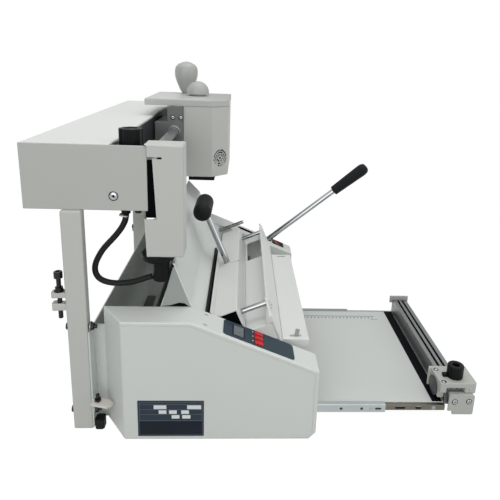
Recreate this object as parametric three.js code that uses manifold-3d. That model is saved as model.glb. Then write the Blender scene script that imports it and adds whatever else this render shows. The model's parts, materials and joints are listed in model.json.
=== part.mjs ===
// A manual hot-glue book binder: side housings and a clamp in front, a milling head on a beam above,
// and a trimming table that slides out at the front.
// Millimetres. +X is the front, where the operator stands, +Y is the far side and +Z is up.
// Sizes are written from the back of the beam (x 0), the near housing's outer face (y 0) and the
// floor (z 0). The origin of the finished part is the floor point under the middle of its box.
import * as THREE from "three";
import { mergeVertices } from "three/addons/utils/BufferGeometryUtils.js";
import Module from "manifold-3d";

const wasm = await Module();
wasm.setup();

// overall
const overallDepth = 634;
const overallWidth = 640;

// fits
const seat = 0.3;
const boreGap = 0.06;
const slideGap = 0.4;
const overrun = 1;
const sheet = 1.5;

// side housings
const housingBack = 121.4;
const housingInnerBack = 88.5;
const housingBreak = 212;
const housingFront = 385.4;
const housingTop = 178.7;
const housingLip = 106.8;
const housingWidth = 46.1;
const housingChamfer = 8;
const innerSpan = 388.3;

// base tray and the rib that carries the far slide
const trayThick = 2;
const trayInset = 1.2;
const ribBack = 120;
const ribFront = 383;

// legs and rear panel
const legBack = 46.4;
const legDepth = 26.6;
const legWidth = 16;
const legInset = 22.7;
const legWall = 1.8;
const lugReach = 19;
const lugWidth = 12;
const lugUpperZ = 199;
const lugUpperThick = 8;
const lugLowerZ = 181;
const lugLowerThick = 10;
const lugBolt = 3.3;
const panelThick = 2;
const panelTop = 150;
const panelFlange = 34;

// beam
const beamInset = 29.2;
const beamTop = 404;
const beamHeight = 84;
const beamDepth = 155.4;
const coverDepth = 108.9;
const coverWall = 1.6;
const endPlate = 2;
const channelWall = 2;
const channelFloor = 3;
const channelDrop = 3;
const knobShelfDepth = 41;
const knobShelfWidth = 47;
const knobShelfThick = 3;
const knobShelfDrop = 5;

// guide rod
const rodX = 148;
const rodZ = 377;
const rodRadius = 8;

// beam lock knob
const lockX = 131;
const lockY = 60;
const lockRadius = 16;
const lockHeight = 17;
const lockStem = 4;
const lockStemLength = 9;
const lockFlute = 1.6;
const lockFlutes = 10;

// end guard and what hangs under it
const guardLength = 45.1;
const guardReach = 1.8;
const guardDepth = 35;
const guardBottom = 258;
const guardTopGap = 0.3;
const guardLap = 3.2;
const guardTailDepth = 4.9;
const guardTailLow = 2.7;
const guardTailHeight = 51.8;
const notchLowDepth = 10.6;
const notchHighDepth = 6.6;
const tongueDepth = 18.3;
const tongueDrop = 13.5;
const tongueSlit = 2.5;
const guardFloorDepth = 26;

// cable boss and cable
const bossX = 164.4;
const bossY = 50;
const bossRadius = 22.4;
const bossHeight = 12.7;
const neckLead = 3.3;
const neckRadius = 11.1;
const neckHeight = 27.5;
const cableRadius = 4;
const glandRadius = 8;
const glandHeight = 10;
const glandCollar = 6;

// milling head
const headNear = 350;
const headLength = 172;
const headBack = 163.8;
const headFront = 245.8;
const headBottom = 291.5;
const headTop = 423.3;
const headChamfer = 28.3;
const headSheet = 2;
const headFloor = 3;
const ventLow = 34.8;
const ventSlot = 3;
const ventPitch = 6.4;
const ventSlots = 5;
const ventWidth = 31;
const lidReach = 69;
const lidOver = 0.8;
const lidHeight = 12.2;
const lidSheet = 2;
const lidRound = 2.5;

// head's bearing block and bracket
const bearingBack = 113;
const bearingLow = 359;
const bearingHigh = 394;
const bearingLead = 8;
const bearingLength = 110;
const bracketBack = 136;
const bracketThick = 4;
const flangeThick = 3.6;
const flangeBottom = 300;

// head's handle and knob
const handleBack = 10.4;
const handleInset = 19;
const handleHeight = 64.5;
const handleRadius = 23.5;
const handleNeck = 9;
const knobLead = 18.6;
const knobInset = 76;
const knobHeight = 28.3;
const knobRadius = 22;
const gripStem = 4;
const collarRadius = 16;
const collarHeight = 3;

// milling motor, cutter guard and cutter
const motorLead = 34.2;
const motorInset = 55;
const motorRadius = 26;
const motorHeight = 88;
const motorCap = 4;
const shaftRadius = 5;
const cutterGuardBack = 173;
const cutterGuardFront = 221.5;
const cutterGuardLead = 3;
const cutterGuardLength = 108;
const cutterGuardHeight = 7;
const cutterRadius = 19;
const cutterThick = 3.5;
const cutterTeeth = 12;
const cutterTooth = 2;
const cutterRoom = 1.5;

// the clamp leans back: its own frame starts at the jaw's top edge, u forward and up, w square to u
const clampLean = 22.5;
const clampX = 235;
const clampZ = 158;
const clampNearGap = 3.9;
const clampFarGap = 27.4;

// jaw, its strip and the lip against it
const jawBack = 1.5;
const jawFront = 39;
const jawDrop = 34;
const jawSheet = 2;
const stripBack = 2.5;
const stripThick = 2;
const stripHeight = 10;
const stripLength = 235;
const lipThick = 3.2;
const lipGap = 2;
const lipLow = 24;
const lipHigh = 12.5;
const lipLength = 250;

// guide pins, stop rod
const pinRadius = 4;
const pinDrop = 16;
const pinInset = 22;
const farPinInset = 27;
const pinBack = 6.5;
const pinFront = 84;
const stopRadius = 3.5;
const stopInset = 16.4;
const stopBack = 14;
const stopFront = 50;
const stopLift = 5.5;

// front bar, shelf and bed
const barBack = 78.5;
const barThick = 3;
const barHigh = 11.2;
const barLow = 73;
const barCorner = 14;
const tabWidth = 9;
const tabThick = 2.5;
const tabRise = 3;
const tabDrop = 22;
const shelfInset = 12;
const shelfWidth = 328;
const shelfDepth = 38.5;
const shelfTop = 123;
const shelfSheet = 1.6;
const shelfLip = 11;
const shelfSlotLength = 16;
const shelfSlotWidth = 5;
const shelfSlotInset = 7;
const bedTop = 36;
const bedThick = 2;
const bedBack = 4;
const bedWindowWidth = 93;
const bedWindowInset = 36.4;
const bedWindowEdge = 3.5;
const bedRib = 12;
const bedRibGap = 34;
const bedFlangeBack = 45;
const bedFlangeDrop = 24;
const barGussetBack = 8.7;
const barGussetTop = 1.8;
const barGussetStep = 3;
const barGussetFall = 5;

// tee handle
const teeU = 18;
const teeInset = 190;
const teeLength = 108;
const teeRadius = 5;
const teeFoot = 5.8;
const teeFootHeight = 1.2;
const gripRadius = 15;
const gripLength = 85;
const gripEndShare = 0.85;

// long clamp lever, which comes up through a slot in the far housing's slope, and its cam shaft
const pivotX = 291.2;
const pivotZ = 93.3;
const leverTilt = 39.4;
const leverSwing = 50;
const leverInset = 24.5;
const slotAhead = 8.2;
const slotBehind = 25.3;
const slotSide = 1.6;
const slotRound = 3;
const hubRadius = 13;
const hubWidth = 13;
const leverRadius = 5.7;
const leverReach = 232.6;
const leverGripNear = 10.2;
const leverGripFar = 12.7;
const leverGripLength = 88;
const leverGripFlutes = 12;
const leverGripFlute = 0.9;
const camShaftRadius = 6;
const camShaftEnd = 56;
const camRadius = 11;
const camThrow = 3;
const camWidth = 12;
const nearCamY = 120;
const farCamY = 340;

// bent back plate
const plateThick = 2.5;
const plateTopX = 165;
const plateTopZ = 264;
const plateBendX = 187;
const plateBendZ = 241;
const plateFootX = 209;
const plateFootZ = 178;
const plateToe = 2;
const plateBendRound = 7;
const plateFootRound = 25;
const plateToeRound = 6;
const gussetThick = 2;
const gussetBackX = 166;
const gussetBackZ = 178;
const gussetLowX = 160;
const gussetFrontX = 211;
const gussetLowZ = 150;
const plateNotchWidth = 27;
const plateNotchLift = 1;

// glue pot and roller
const potBack = 140;
const potFront = 215;
const potLow = 76;
const potHigh = 124;
const potWall = 3;
const potEnd = 6;
const rollerX = 188;
const rollerZ = 112;
const rollerRadius = 14;
const rollerShaft = 4;

// control overlay and buttons on the near housing's slope
const overlayStart = 45;
const overlayLength = 105.5;
const overlayInset = 5.5;
const overlayEdge = 2.6;
const overlayThick = 0.8;
const overlayFilm = 0.05;
const overlayRound = 5;
const buttonStart = 46;
const buttonLength = 12;
const buttonWidthShare = 0.237;
const buttonPitchShare = 0.305;
const buttonRise = 1.5;
const buttonTravel = 1;
const buttonSunk = 1.8;
const buttonGap = 0.35;

// power rocker on the far housing's slope
const rockerLead = 5;
const rockerLength = 15;
const rockerWidth = 17;
const rockerInset = 10;
const rockerBody = 9;
const rockerRise = 2.6;
const rockerCrown = 2.2;
const rockerGap = 0.8;

// trimming table
const boardBack = 330;
const boardGap = 1.5;
const boardWidth = 286;
const boardThick = 4;
const boardTop = 18;
const boardRound = 4;
const matWidth = 15.5;
const matEdge = 0.5;
const matThick = 1;
const matInset = 1;

// drawer slides, three members each
const slideHeight = 17;
const slideLow = 4.2;
const slideOuterDepth = 10.7;
const slideSheet = 1.4;
const slideOuterBack = 150;
const slideOuterFront = 382;
const slideMidBack = 265;
const slideMidReach = 91.7;
const slideInnerReach = 10;
const slideStep = 1.6;

// slotted aluminium rail and its brackets
const railFromFront = 45;
const railDepth = 27;
const railTop = 45;
const railOver = 1.5;
const railGroove = 4;
const railGrooveDepth = 4;
const railGrooveTopInset = 9;
const railBore = 4;
const farBracketThick = 4;
const farBracketRise = 7;
const farBracketLead = 6;
const farBracketLength = 37;
const farBracketStem = 7;
const nearBracketThick = 3;
const nearBracketInset = 3;
const nearBracketLength = 39;
const nearBracketLow = 4;
const nearBracketHigh = 37;
const nearBracketRound = 3;
const nearBracketNotch = 7;
const nearBracketNotchHeight = 6;

// trimmer carriage
const carriageDepth = 59.5;
const carriageLead = 6;
const carriageLength = 46;
const carriageLow = 24;
const carriageHigh = 54;
const carriageRound = 3;
const skirtThick = 4.5;
const bladeInset = 1.2;
const bladeThick = 1.6;
const bladeRadius = 15;
const bladeHub = 5;
const bladeFromNear = 24.5;
const bladeRoom = 1.2;
const bladeAxle = 2;
const trimKnobInset = 28;
const trimKnobFromNear = 18.5;
const trimKnobRadius = 12.2;
const trimKnobHeight = 20;
const trimKnobFlutes = 12;
const trimKnobFlute = 1;
const trimStem = 4;

// how finely round things are cut
const fine = 48;
const medium = 32;
const coarse = 20;

// derived places
const leanAngle = THREE.MathUtils.degToRad(clampLean);
const farInner = housingWidth + innerSpan;
const machineWidth = farInner + housingWidth;
const beamBottom = beamTop - beamHeight;
const legTop = beamBottom;
const legFront = legBack + legDepth;
const farLegY = machineWidth - legInset - legWidth;
const slopeDrop = housingTop - housingLip;
const slopeRun = housingFront - housingBreak;
const slopeAngle = Math.atan2(slopeDrop, slopeRun);
const headFar = headNear + headLength;
const boardNear = housingWidth + slideGap + slideOuterDepth + seat;
const boardFar = boardNear + boardWidth;
const guardBack = beamDepth + seat;
const guardFront = guardBack + guardLength;
const neckX = bossX + neckLead;
const lidTop = headTop + lidHeight;
const lidBack = headBack - lidReach;
const handleX = headBack - handleBack;
const handleY = headFar - handleInset;
const knobX = headBack + knobLead;
const knobY = headFar - knobInset;
const motorX = headBack + motorLead;
const motorY = headNear + motorInset;
const railBack = overallDepth - railFromFront;
const boardFront = railBack - boardGap;
const matBack = boardFront - matEdge - matWidth;
const slideInnerBack = boardBack + slideInnerReach;
const slideInnerFront = railBack - seat;
const slideMidFront = slideInnerFront - slideMidReach;
const railNear = boardNear;
const railFar = boardFar + railOver;
const carriageBack = overallDepth - carriageDepth;
const carriageNear = boardNear - carriageLead;
const bladeY = carriageNear + bladeFromNear;
const trimKnobY = carriageNear + trimKnobFromNear;
const clampNear = housingWidth + clampNearGap;
const clampFar = farInner - clampFarGap;
const stripFar = clampNear + stripLength;
const lipFar = clampNear + lipLength;
const nearPinY = clampNear + pinInset;
const farPinY = clampFar - farPinInset;
const stopY = farInner - stopInset;
const shelfNear = housingWidth + shelfInset;
const shelfFar = shelfNear + shelfWidth;
const bedWindowFar = farInner - bedWindowInset;
const bedWindowNear = bedWindowFar - bedWindowWidth;
const teeY = clampNear + teeInset;
const leverNear = machineWidth - leverInset;
const leverY = leverNear + hubWidth / 2;
const overlayWidth = housingWidth - overlayInset - overlayEdge;
const buttonWidth = overlayWidth * buttonWidthShare;
const buttonPitch = overlayWidth * buttonPitchShare;
const bladeX = carriageBack + bladeInset;
const trimKnobX = overallDepth - trimKnobInset;

// solids

function indexed(geometry) {
  const plain = geometry.clone();
  for (const name of Object.keys(plain.attributes)) {
    if (name !== "position") {
      plain.deleteAttribute(name);
    }
  }
  return mergeVertices(plain, 0.0001);
}

function toSolid(geometry) {
  const merged = indexed(geometry);
  const data = {
    numProp: 3,
    vertProperties: new Float32Array(merged.attributes.position.array),
    triVerts: new Uint32Array(merged.index.array),
  };
  return new wasm.Manifold(new wasm.Mesh(data));
}

function toGeometry(solid) {
  const mesh = solid.getMesh();
  const geometry = new THREE.BufferGeometry();
  geometry.setAttribute("position", new THREE.BufferAttribute(new Float32Array(mesh.vertProperties), 3));
  geometry.setIndex(new THREE.BufferAttribute(new Uint32Array(mesh.triVerts), 1));
  const flat = geometry.toNonIndexed();
  flat.computeVertexNormals();
  return flat;
}

const alongX = new THREE.Matrix4().makeBasis(
  new THREE.Vector3(0, 1, 0),
  new THREE.Vector3(0, 0, 1),
  new THREE.Vector3(1, 0, 0),
);
const alongY = new THREE.Matrix4().makeBasis(
  new THREE.Vector3(1, 0, 0),
  new THREE.Vector3(0, 0, 1),
  new THREE.Vector3(0, -1, 0),
);

function box(x0, x1, y0, y1, z0, z1) {
  const geometry = new THREE.BoxGeometry(x1 - x0, y1 - y0, z1 - z0);
  geometry.translate((x0 + x1) / 2, (y0 + y1) / 2, (z0 + z1) / 2);
  return toSolid(geometry);
}

function outline(points) {
  const shape = new THREE.Shape();
  shape.moveTo(points[0][0], points[0][1]);
  for (const point of points.slice(1)) {
    shape.lineTo(point[0], point[1]);
  }
  shape.closePath();
  return shape;
}

function extruded(shape, length) {
  return new THREE.ExtrudeGeometry(shape, { depth: length, bevelEnabled: false, curveSegments: 8 });
}

// an outline in x and y, from one height to another
function prismZ(points, from, to) {
  const geometry = extruded(outline(points), to - from);
  geometry.translate(0, 0, from);
  return toSolid(geometry);
}

// an outline in x and z, from one y to another
function prismY(points, from, to) {
  const geometry = extruded(outline(points), to - from);
  geometry.applyMatrix4(alongY);
  geometry.translate(0, to, 0);
  return toSolid(geometry);
}

// an outline in y and z, from one x to another
function prismX(points, from, to) {
  const geometry = extruded(outline(points), to - from);
  geometry.applyMatrix4(alongX);
  geometry.translate(from, 0, 0);
  return toSolid(geometry);
}

// corners of an outline rounded by a radius each
function rounded(points, radii, steps = 4) {
  const result = [];
  const count = points.length;
  for (let index = 0; index < count; index += 1) {
    const here = new THREE.Vector2(points[index][0], points[index][1]);
    const radius = Array.isArray(radii) ? radii[index] : radii;
    if (!radius) {
      result.push([here.x, here.y]);
      continue;
    }
    const before = points[(index + count - 1) % count];
    const after = points[(index + 1) % count];
    const back = new THREE.Vector2(before[0], before[1]).sub(here).normalize();
    const ahead = new THREE.Vector2(after[0], after[1]).sub(here).normalize();
    const half = Math.acos(THREE.MathUtils.clamp(back.dot(ahead), -1, 1)) / 2;
    const reach = radius / Math.tan(half);
    const start = here.clone().addScaledVector(back, reach);
    const end = here.clone().addScaledVector(ahead, reach);
    const middle = back.clone().add(ahead).normalize();
    const centre = here.clone().addScaledVector(middle, radius / Math.sin(half));
    const first = start.clone().sub(centre);
    const last = end.clone().sub(centre);
    const sweep = Math.atan2(first.x * last.y - first.y * last.x, first.dot(last));
    for (let step = 0; step <= steps; step += 1) {
      const turned = first.clone().rotateAround(new THREE.Vector2(0, 0), (sweep * step) / steps);
      result.push([centre.x + turned.x, centre.y + turned.y]);
    }
  }
  return result;
}

// a regular round outline whose radius follows a wave, for fluted grips and knobs
function flutedRing(a, b, radius, flutes, depth, perFlute = 6) {
  const points = [];
  const steps = flutes * perFlute;
  for (let step = 0; step < steps; step += 1) {
    const angle = (Math.PI * 2 * step) / steps;
    const reach = radius - (depth * (1 - Math.cos(angle * flutes))) / 2;
    points.push([a + reach * Math.cos(angle), b + reach * Math.sin(angle)]);
  }
  return points;
}

function ring(a, b, radius, count) {
  const points = [];
  for (let step = 0; step < count; step += 1) {
    const angle = (Math.PI * 2 * step) / count;
    points.push([a + radius * Math.cos(angle), b + radius * Math.sin(angle)]);
  }
  return points;
}

function roundX(y, z, radius, from, to, count = medium) {
  return prismX(ring(y, z, radius, count), from, to);
}

function roundY(x, z, radius, from, to, count = medium) {
  return prismY(ring(x, z, radius, count), from, to);
}

function roundZ(x, y, radius, from, to, count = medium) {
  return prismZ(ring(x, y, radius, count), from, to);
}

// a turned piece on a vertical axis; its profile starts and ends on the axis
function turned(x, y, z, profile, count = medium) {
  const points = profile.map(([radius, height]) => new THREE.Vector2(radius, height));
  const geometry = new THREE.LatheGeometry(points, count);
  geometry.rotateX(Math.PI / 2);
  geometry.translate(x, y, z);
  return toSolid(geometry);
}

function union(...solids) {
  return solids.reduce((sum, solid) => sum.add(solid));
}

function mirrored(solid) {
  const geometry = toGeometry(solid);
  geometry.scale(1, -1, 1);
  geometry.translate(0, machineWidth, 0);
  const position = geometry.attributes.position;
  for (let index = 0; index < position.count; index += 3) {
    for (const read of ["getX", "getY", "getZ"]) {
      const write = read.replace("get", "set");
      const kept = position[read](index + 1);
      position[write](index + 1, position[read](index + 2));
      position[write](index + 2, kept);
    }
  }
  return toSolid(geometry);
}

function moved(solid, matrix) {
  const geometry = toGeometry(solid);
  geometry.applyMatrix4(matrix);
  return toSolid(geometry);
}

// clamp pieces are made upright as u, y, w and then leaned
const leanMatrix = new THREE.Matrix4().makeBasis(
  new THREE.Vector3(Math.cos(leanAngle), 0, Math.sin(leanAngle)),
  new THREE.Vector3(0, 1, 0),
  new THREE.Vector3(-Math.sin(leanAngle), 0, Math.cos(leanAngle)),
);
leanMatrix.setPosition(clampX, 0, clampZ);

function leaned(solid) {
  return moved(solid, leanMatrix);
}

function leanedPoint(u, w) {
  const point = new THREE.Vector3(u, 0, w).applyMatrix4(leanMatrix);
  return [point.x, point.z];
}

// pieces on a housing's slope are made flat: s down the slope from the break, y, and height over it
const slopeMatrix = new THREE.Matrix4().makeBasis(
  new THREE.Vector3(Math.cos(slopeAngle), 0, -Math.sin(slopeAngle)),
  new THREE.Vector3(0, 1, 0),
  new THREE.Vector3(Math.sin(slopeAngle), 0, Math.cos(slopeAngle)),
);
slopeMatrix.setPosition(housingBreak, 0, housingTop);

function sloped(solid) {
  return moved(solid, slopeMatrix);
}

// materials

const paint = { color: "#b9bfba", roughness: 0.5, metalness: 0 };
const lightPaint = { color: "#d9dcd9", roughness: 0.5, metalness: 0 };
const blackPaint = { color: "#16181b", roughness: 0.55, metalness: 0 };
const blackPlastic = { color: "#17191c", roughness: 0.45, metalness: 0 };
const greyPlastic = { color: "#8e918f", roughness: 0.5, metalness: 0 };
const rubber = { color: "#1b1c1e", roughness: 0.85, metalness: 0 };
const chrome = { color: "#c9ccce", roughness: 0.15, metalness: 1 };
const steel = { color: "#9c9fa0", roughness: 0.35, metalness: 1 };
const zinc = { color: "#a8a296", roughness: 0.4, metalness: 1 };
const aluminium = { color: "#b9bdc0", roughness: 0.35, metalness: 1 };
const castGrey = { color: "#4c5052", roughness: 0.5, metalness: 0.4 };
const slate = { color: "#3a4a55", roughness: 0.45, metalness: 0 };
const red = { color: "#e0262a", roughness: 0.4, metalness: 0 };

const part = new THREE.Group();
part.name = "thermal_binding_machine";

function add(name, solid, look) {
  const geometry = toGeometry(solid);
  geometry.translate(-overallDepth / 2, -overallWidth / 2, 0);
  const material = new THREE.MeshStandardMaterial(look);
  material.name = name;
  const mesh = new THREE.Mesh(geometry, material);
  mesh.name = name;
  part.add(mesh);
}

// housings

function housingProfile(inset) {
  const lift = inset / Math.cos(slopeAngle);
  const turn = Math.tan(slopeAngle / 2) * inset;
  const slope = slopeDrop / slopeRun;
  const front = housingFront - inset;
  return [
    [housingInnerBack + inset, trayThick],
    [housingFront - housingChamfer - inset, trayThick],
    [front, trayThick + housingChamfer],
    [front, housingTop - slope * (front - housingBreak) - lift],
    [housingBreak - turn, housingTop - inset],
    [housingInnerBack + inset, housingTop - inset],
  ];
}

function housingPlan(inset) {
  return [
    [housingBack + inset, inset],
    [housingFront + overrun, inset],
    [housingFront + overrun, housingWidth - inset],
    [housingInnerBack + inset, housingWidth - inset],
  ];
}

function housingShell() {
  const outside = prismY(housingProfile(0), 0, housingWidth);
  const body = outside.intersect(prismZ(housingPlan(0), 0, housingTop + overrun));
  const inside = prismY(housingProfile(sheet), sheet, housingWidth - sheet);
  const room = inside.intersect(prismZ(housingPlan(sheet), 0, housingTop + overrun));
  const opening = prismZ(
    [
      [housingBack + sheet, sheet],
      [housingFront - housingChamfer - sheet, sheet],
      [housingFront - housingChamfer - sheet, housingWidth - sheet],
      [housingInnerBack + sheet, housingWidth - sheet],
    ],
    0,
    trayThick + sheet,
  );
  return body.subtract(room).subtract(opening);
}

function buttonY(index) {
  return overlayInset + (overlayWidth - buttonPitch * 2) / 2 + buttonPitch * index;
}

function nearHousing() {
  let solid = housingShell();
  for (let index = 0; index < 3; index += 1) {
    const s = overlayStart + buttonStart;
    const y = buttonY(index);
    const window = box(
      s - buttonGap,
      s + buttonLength + buttonGap,
      y - buttonWidth / 2 - buttonGap,
      y + buttonWidth / 2 + buttonGap,
      -sheet - overrun,
      overrun,
    );
    solid = solid.subtract(sloped(window));
  }
  return solid;
}

function rockerY() {
  return machineWidth - rockerInset - rockerWidth;
}

// where the lever's middle line meets the slope at a given tilt, measured down the slope
function slopeCrossing(tilt) {
  const angle = THREE.MathUtils.degToRad(tilt);
  const fall = Math.tan(slopeAngle);
  const lift = housingTop - (pivotX - housingBreak) * fall - pivotZ;
  const reach = lift / (Math.sin(angle) + Math.cos(angle) * fall);
  return (pivotX + reach * Math.cos(angle) - housingBreak) / Math.cos(slopeAngle);
}

function slotFront() {
  return slopeCrossing(leverTilt) + slotAhead;
}

function rockerBack() {
  return slotFront() + rockerLead;
}

function leverSlot() {
  const back = slopeCrossing(leverTilt + leverSwing) - slotBehind;
  const front = slotFront();
  const half = leverRadius + slotSide;
  const points = [
    [back, leverY - half],
    [front, leverY - half],
    [front, leverY + half],
    [back, leverY + half],
  ];
  return sloped(prismZ(rounded(points, slotRound), -sheet - overrun, overrun));
}

function farHousing() {
  const shell = mirrored(housingShell());
  const s = rockerBack();
  const y = rockerY();
  const window = box(
    s - rockerGap,
    s + rockerLength + rockerGap,
    y - rockerGap,
    y + rockerWidth + rockerGap,
    -sheet - overrun,
    overrun,
  );
  const shaftHole = roundY(
    pivotX,
    pivotZ,
    camShaftRadius + boreGap,
    farInner - overrun,
    machineWidth + overrun,
  );
  return shell.subtract(sloped(window)).subtract(leverSlot()).subtract(shaftHole);
}

add("near_housing", nearHousing(), paint);
add("far_housing", farHousing(), paint);

// base tray

function trayPlan() {
  const back = housingBack + trayInset;
  const innerBack = housingInnerBack + trayInset;
  const front = housingFront - housingChamfer - trayInset;
  const far = machineWidth - trayInset;
  return [
    [back, trayInset],
    [front, trayInset],
    [front, far],
    [back, far],
    [innerBack, machineWidth - housingWidth],
    [innerBack, housingWidth],
  ];
}

function slideBack() {
  return boardFar + seat + slideOuterDepth;
}

function baseTray() {
  const floor = prismZ(trayPlan(), 0, trayThick);
  const rib = box(
    ribBack,
    ribFront - housingChamfer,
    slideBack() + seat,
    slideBack() + seat + sheet * 2,
    0,
    slideLow + slideHeight + sheet,
  );
  return union(floor, rib);
}

add("base_tray", baseTray(), paint);

// rear panel and legs

function rearPanel() {
  const back = legFront;
  const web = box(back, back + panelThick, legInset, machineWidth - legInset, trayThick, panelTop);
  const nearFlange = box(
    back,
    back + panelFlange,
    housingWidth + seat,
    housingWidth + seat + panelThick,
    trayThick,
    panelTop,
  );
  const farFlange = box(
    back,
    back + panelFlange,
    farInner - seat - panelThick,
    farInner - seat,
    trayThick,
    panelTop,
  );
  return union(web, nearFlange, farFlange);
}

function leg(y) {
  const tube = box(legBack, legFront, y, y + legWidth, 0, legTop);
  const hollow = box(
    legBack + legWall,
    legFront - legWall,
    y + legWall,
    y + legWidth - legWall,
    -overrun,
    legTop - legWall,
  );
  return tube.subtract(hollow);
}

function lug(y, low, thick) {
  const middle = y + legWidth / 2;
  const half = lugWidth / 2;
  const points = rounded(
    [
      [legBack - lugReach, middle - half],
      [legBack + legWall / 2, middle - half],
      [legBack + legWall / 2, middle + half],
      [legBack - lugReach, middle + half],
    ],
    [half / 2, 0, 0, half / 2],
  );
  const hole = roundZ(
    legBack - lugReach / 2,
    middle,
    lugBolt,
    low - overrun,
    low + thick + overrun,
    coarse,
  );
  return prismZ(points, low, low + thick).subtract(hole);
}

function nearLeg() {
  return union(
    leg(legInset),
    lug(legInset, lugUpperZ, lugUpperThick),
    lug(legInset, lugLowerZ, lugLowerThick),
  );
}

add("rear_panel", rearPanel(), paint);
add("near_leg", nearLeg(), paint);
add("far_leg", leg(farLegY), paint);

// beam

const beamNear = beamInset;
const beamFar = overallWidth;

function beamCover() {
  const outside = box(0, coverDepth, beamNear + endPlate, beamFar - endPlate, beamBottom, beamTop);
  const inside = box(
    coverWall,
    coverDepth - coverWall,
    beamNear,
    beamFar,
    beamBottom + coverWall,
    beamTop - coverWall,
  );
  return outside.subtract(inside);
}

function beamPlate(y) {
  return box(0, beamDepth, y, y + endPlate, beamBottom, beamTop);
}

function beamChannel() {
  const near = beamNear + endPlate;
  const far = beamFar - endPlate;
  const floor = box(coverDepth, beamDepth, near, far, beamBottom, beamBottom + channelFloor);
  const wall = box(coverDepth, coverDepth + channelWall, near, far, beamBottom, beamTop - channelDrop);
  const shelfHigh = beamTop - knobShelfDrop;
  const shelf = box(
    coverDepth,
    coverDepth + knobShelfDepth,
    near,
    near + knobShelfWidth,
    shelfHigh - knobShelfThick,
    shelfHigh,
  );
  const hole = roundZ(
    lockX,
    lockY,
    lockStem + boreGap,
    shelfHigh - knobShelfThick - overrun,
    shelfHigh + overrun,
    coarse,
  );
  return union(floor, wall, shelf.subtract(hole));
}

function guideRod() {
  return roundY(rodX, rodZ, rodRadius, beamNear + endPlate, beamFar - endPlate, fine);
}

add("beam_cover", beamCover(), lightPaint);
add("beam_near_plate", beamPlate(beamNear), paint);
add("beam_far_plate", beamPlate(beamFar - endPlate), paint);
add("beam_channel", beamChannel(), blackPaint);
add("guide_rod", guideRod(), steel);

// beam lock knob

function beamLockKnob() {
  const base = beamTop - knobShelfDrop + seat;
  const top = base + knobShelfDrop + lockHeight;
  const head = prismZ(flutedRing(lockX, lockY, lockRadius, lockFlutes, lockFlute), base, top - lockFlute);
  const crown = roundZ(lockX, lockY, lockRadius - lockFlute * 2, top - lockFlute - overrun, top, medium);
  const stem = roundZ(
    lockX,
    lockY,
    lockStem,
    base - lockStemLength,
    base + overrun,
    coarse,
  );
  return union(head, crown, stem);
}

add("beam_lock_knob", beamLockKnob(), blackPlastic);

// end guard, cable boss and cable

const guardNear = beamNear - guardReach;
const guardTop = beamTop + guardTopGap + sheet;

// the near sheet is notched behind, under a tongue that covers the beam's corner
function guardOutline() {
  const step = guardBottom + guardTailHeight;
  const tongue = beamTop - tongueDrop;
  return [
    [guardBack, guardTop],
    [guardFront, guardTop],
    [guardFront, guardBottom],
    [guardBack - guardTailLow, guardBottom],
    [guardBack - guardTailDepth, step],
    [guardBack + notchLowDepth, step],
    [guardBack + notchHighDepth, tongue - tongueSlit],
    [guardBack + tongueDepth, tongue - tongueSlit],
    [guardBack + tongueDepth, tongue],
    [guardBack, tongue],
  ];
}

function endGuard() {
  const far = guardNear + guardDepth;
  const face = prismY(guardOutline(), guardNear, guardNear + sheet);
  const side = box(guardFront - sheet, guardFront, guardNear, far, guardBottom, guardTop);
  const roof = box(guardBack - guardLap, guardFront, guardNear, far, guardTop - sheet, guardTop);
  const floor = box(
    guardBack - guardTailLow,
    guardFront - sheet / 2,
    guardNear + sheet / 2,
    guardNear + sheet + guardFloorDepth,
    guardBottom,
    guardBottom + sheet,
  );
  return union(face, side, roof, floor);
}

function cableBoss() {
  const top = guardBottom - seat;
  const dish = turned(bossX, bossY, top - bossHeight, [
    [0, 0],
    [bossRadius * 0.6, 0],
    [bossRadius, bossHeight * 0.35],
    [bossRadius, bossHeight],
    [0, bossHeight],
  ]);
  const low = top - bossHeight - neckHeight;
  const neck = roundZ(neckX, bossY, neckRadius, low, top - bossHeight + overrun, medium);
  return union(dish, neck);
}

function cableRoute() {
  const points = [
    [123.3, 50, 309.2],
    [121.6, 50, 300.5],
    [117.2, 50, 291.3],
    [111.1, 50, 282.6],
    [104.0, 50, 274.1],
    [96.8, 50, 266.2],
    [90.4, 50, 258.2],
    [85.2, 50, 249.6],
    [81.1, 50, 240.9],
    [79.2, 50, 232.1],
    [80.1, 50, 224.6],
    [83.8, 50, 218.2],
    [90.0, 50, 213.9],
    [98.2, 50, 211.5],
    [108.2, 50, 210.6],
    [119.0, 50, 211.4],
    [129.8, 50, 213.3],
    [140.0, 50, 216.5],
    [148.8, 50, 219.6],
    [155.0, 50, 221.8],
  ];
  return points.map(([x, y, z]) => new THREE.Vector3(x, y, z));
}

function cable() {
  const route = cableRoute();
  const path = new THREE.CatmullRomCurve3(route, false, "centripetal");
  const shape = outline(ring(0, 0, cableRadius, 10));
  const geometry = new THREE.ExtrudeGeometry(shape, {
    steps: 48,
    extrudePath: path,
    bevelEnabled: false,
  });
  return toSolid(geometry);
}

function cableGland() {
  const x = cableRoute()[0].x;
  const high = beamBottom;
  const nut = roundZ(x, bossY, glandRadius, high - glandHeight / 2, high, 6);
  const collar = roundZ(x, bossY, glandCollar, high - glandHeight, high - glandHeight / 2, coarse);
  return union(nut, collar);
}

add("end_guard", endGuard(), paint);
add("cable_boss", cableBoss(), blackPlastic);
add("head_cable", cable(), rubber);
add("cable_gland", cableGland(), blackPlastic);

// milling head

function headPlan(inset, back) {
  const turn = Math.tan(Math.PI / 8) * inset;
  return [
    [back + inset, headNear + inset],
    [headFront - headChamfer - turn, headNear + inset],
    [headFront - inset, headNear + headChamfer + turn],
    [headFront - inset, headFar - inset],
    [back + inset, headFar - inset],
  ];
}

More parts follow.
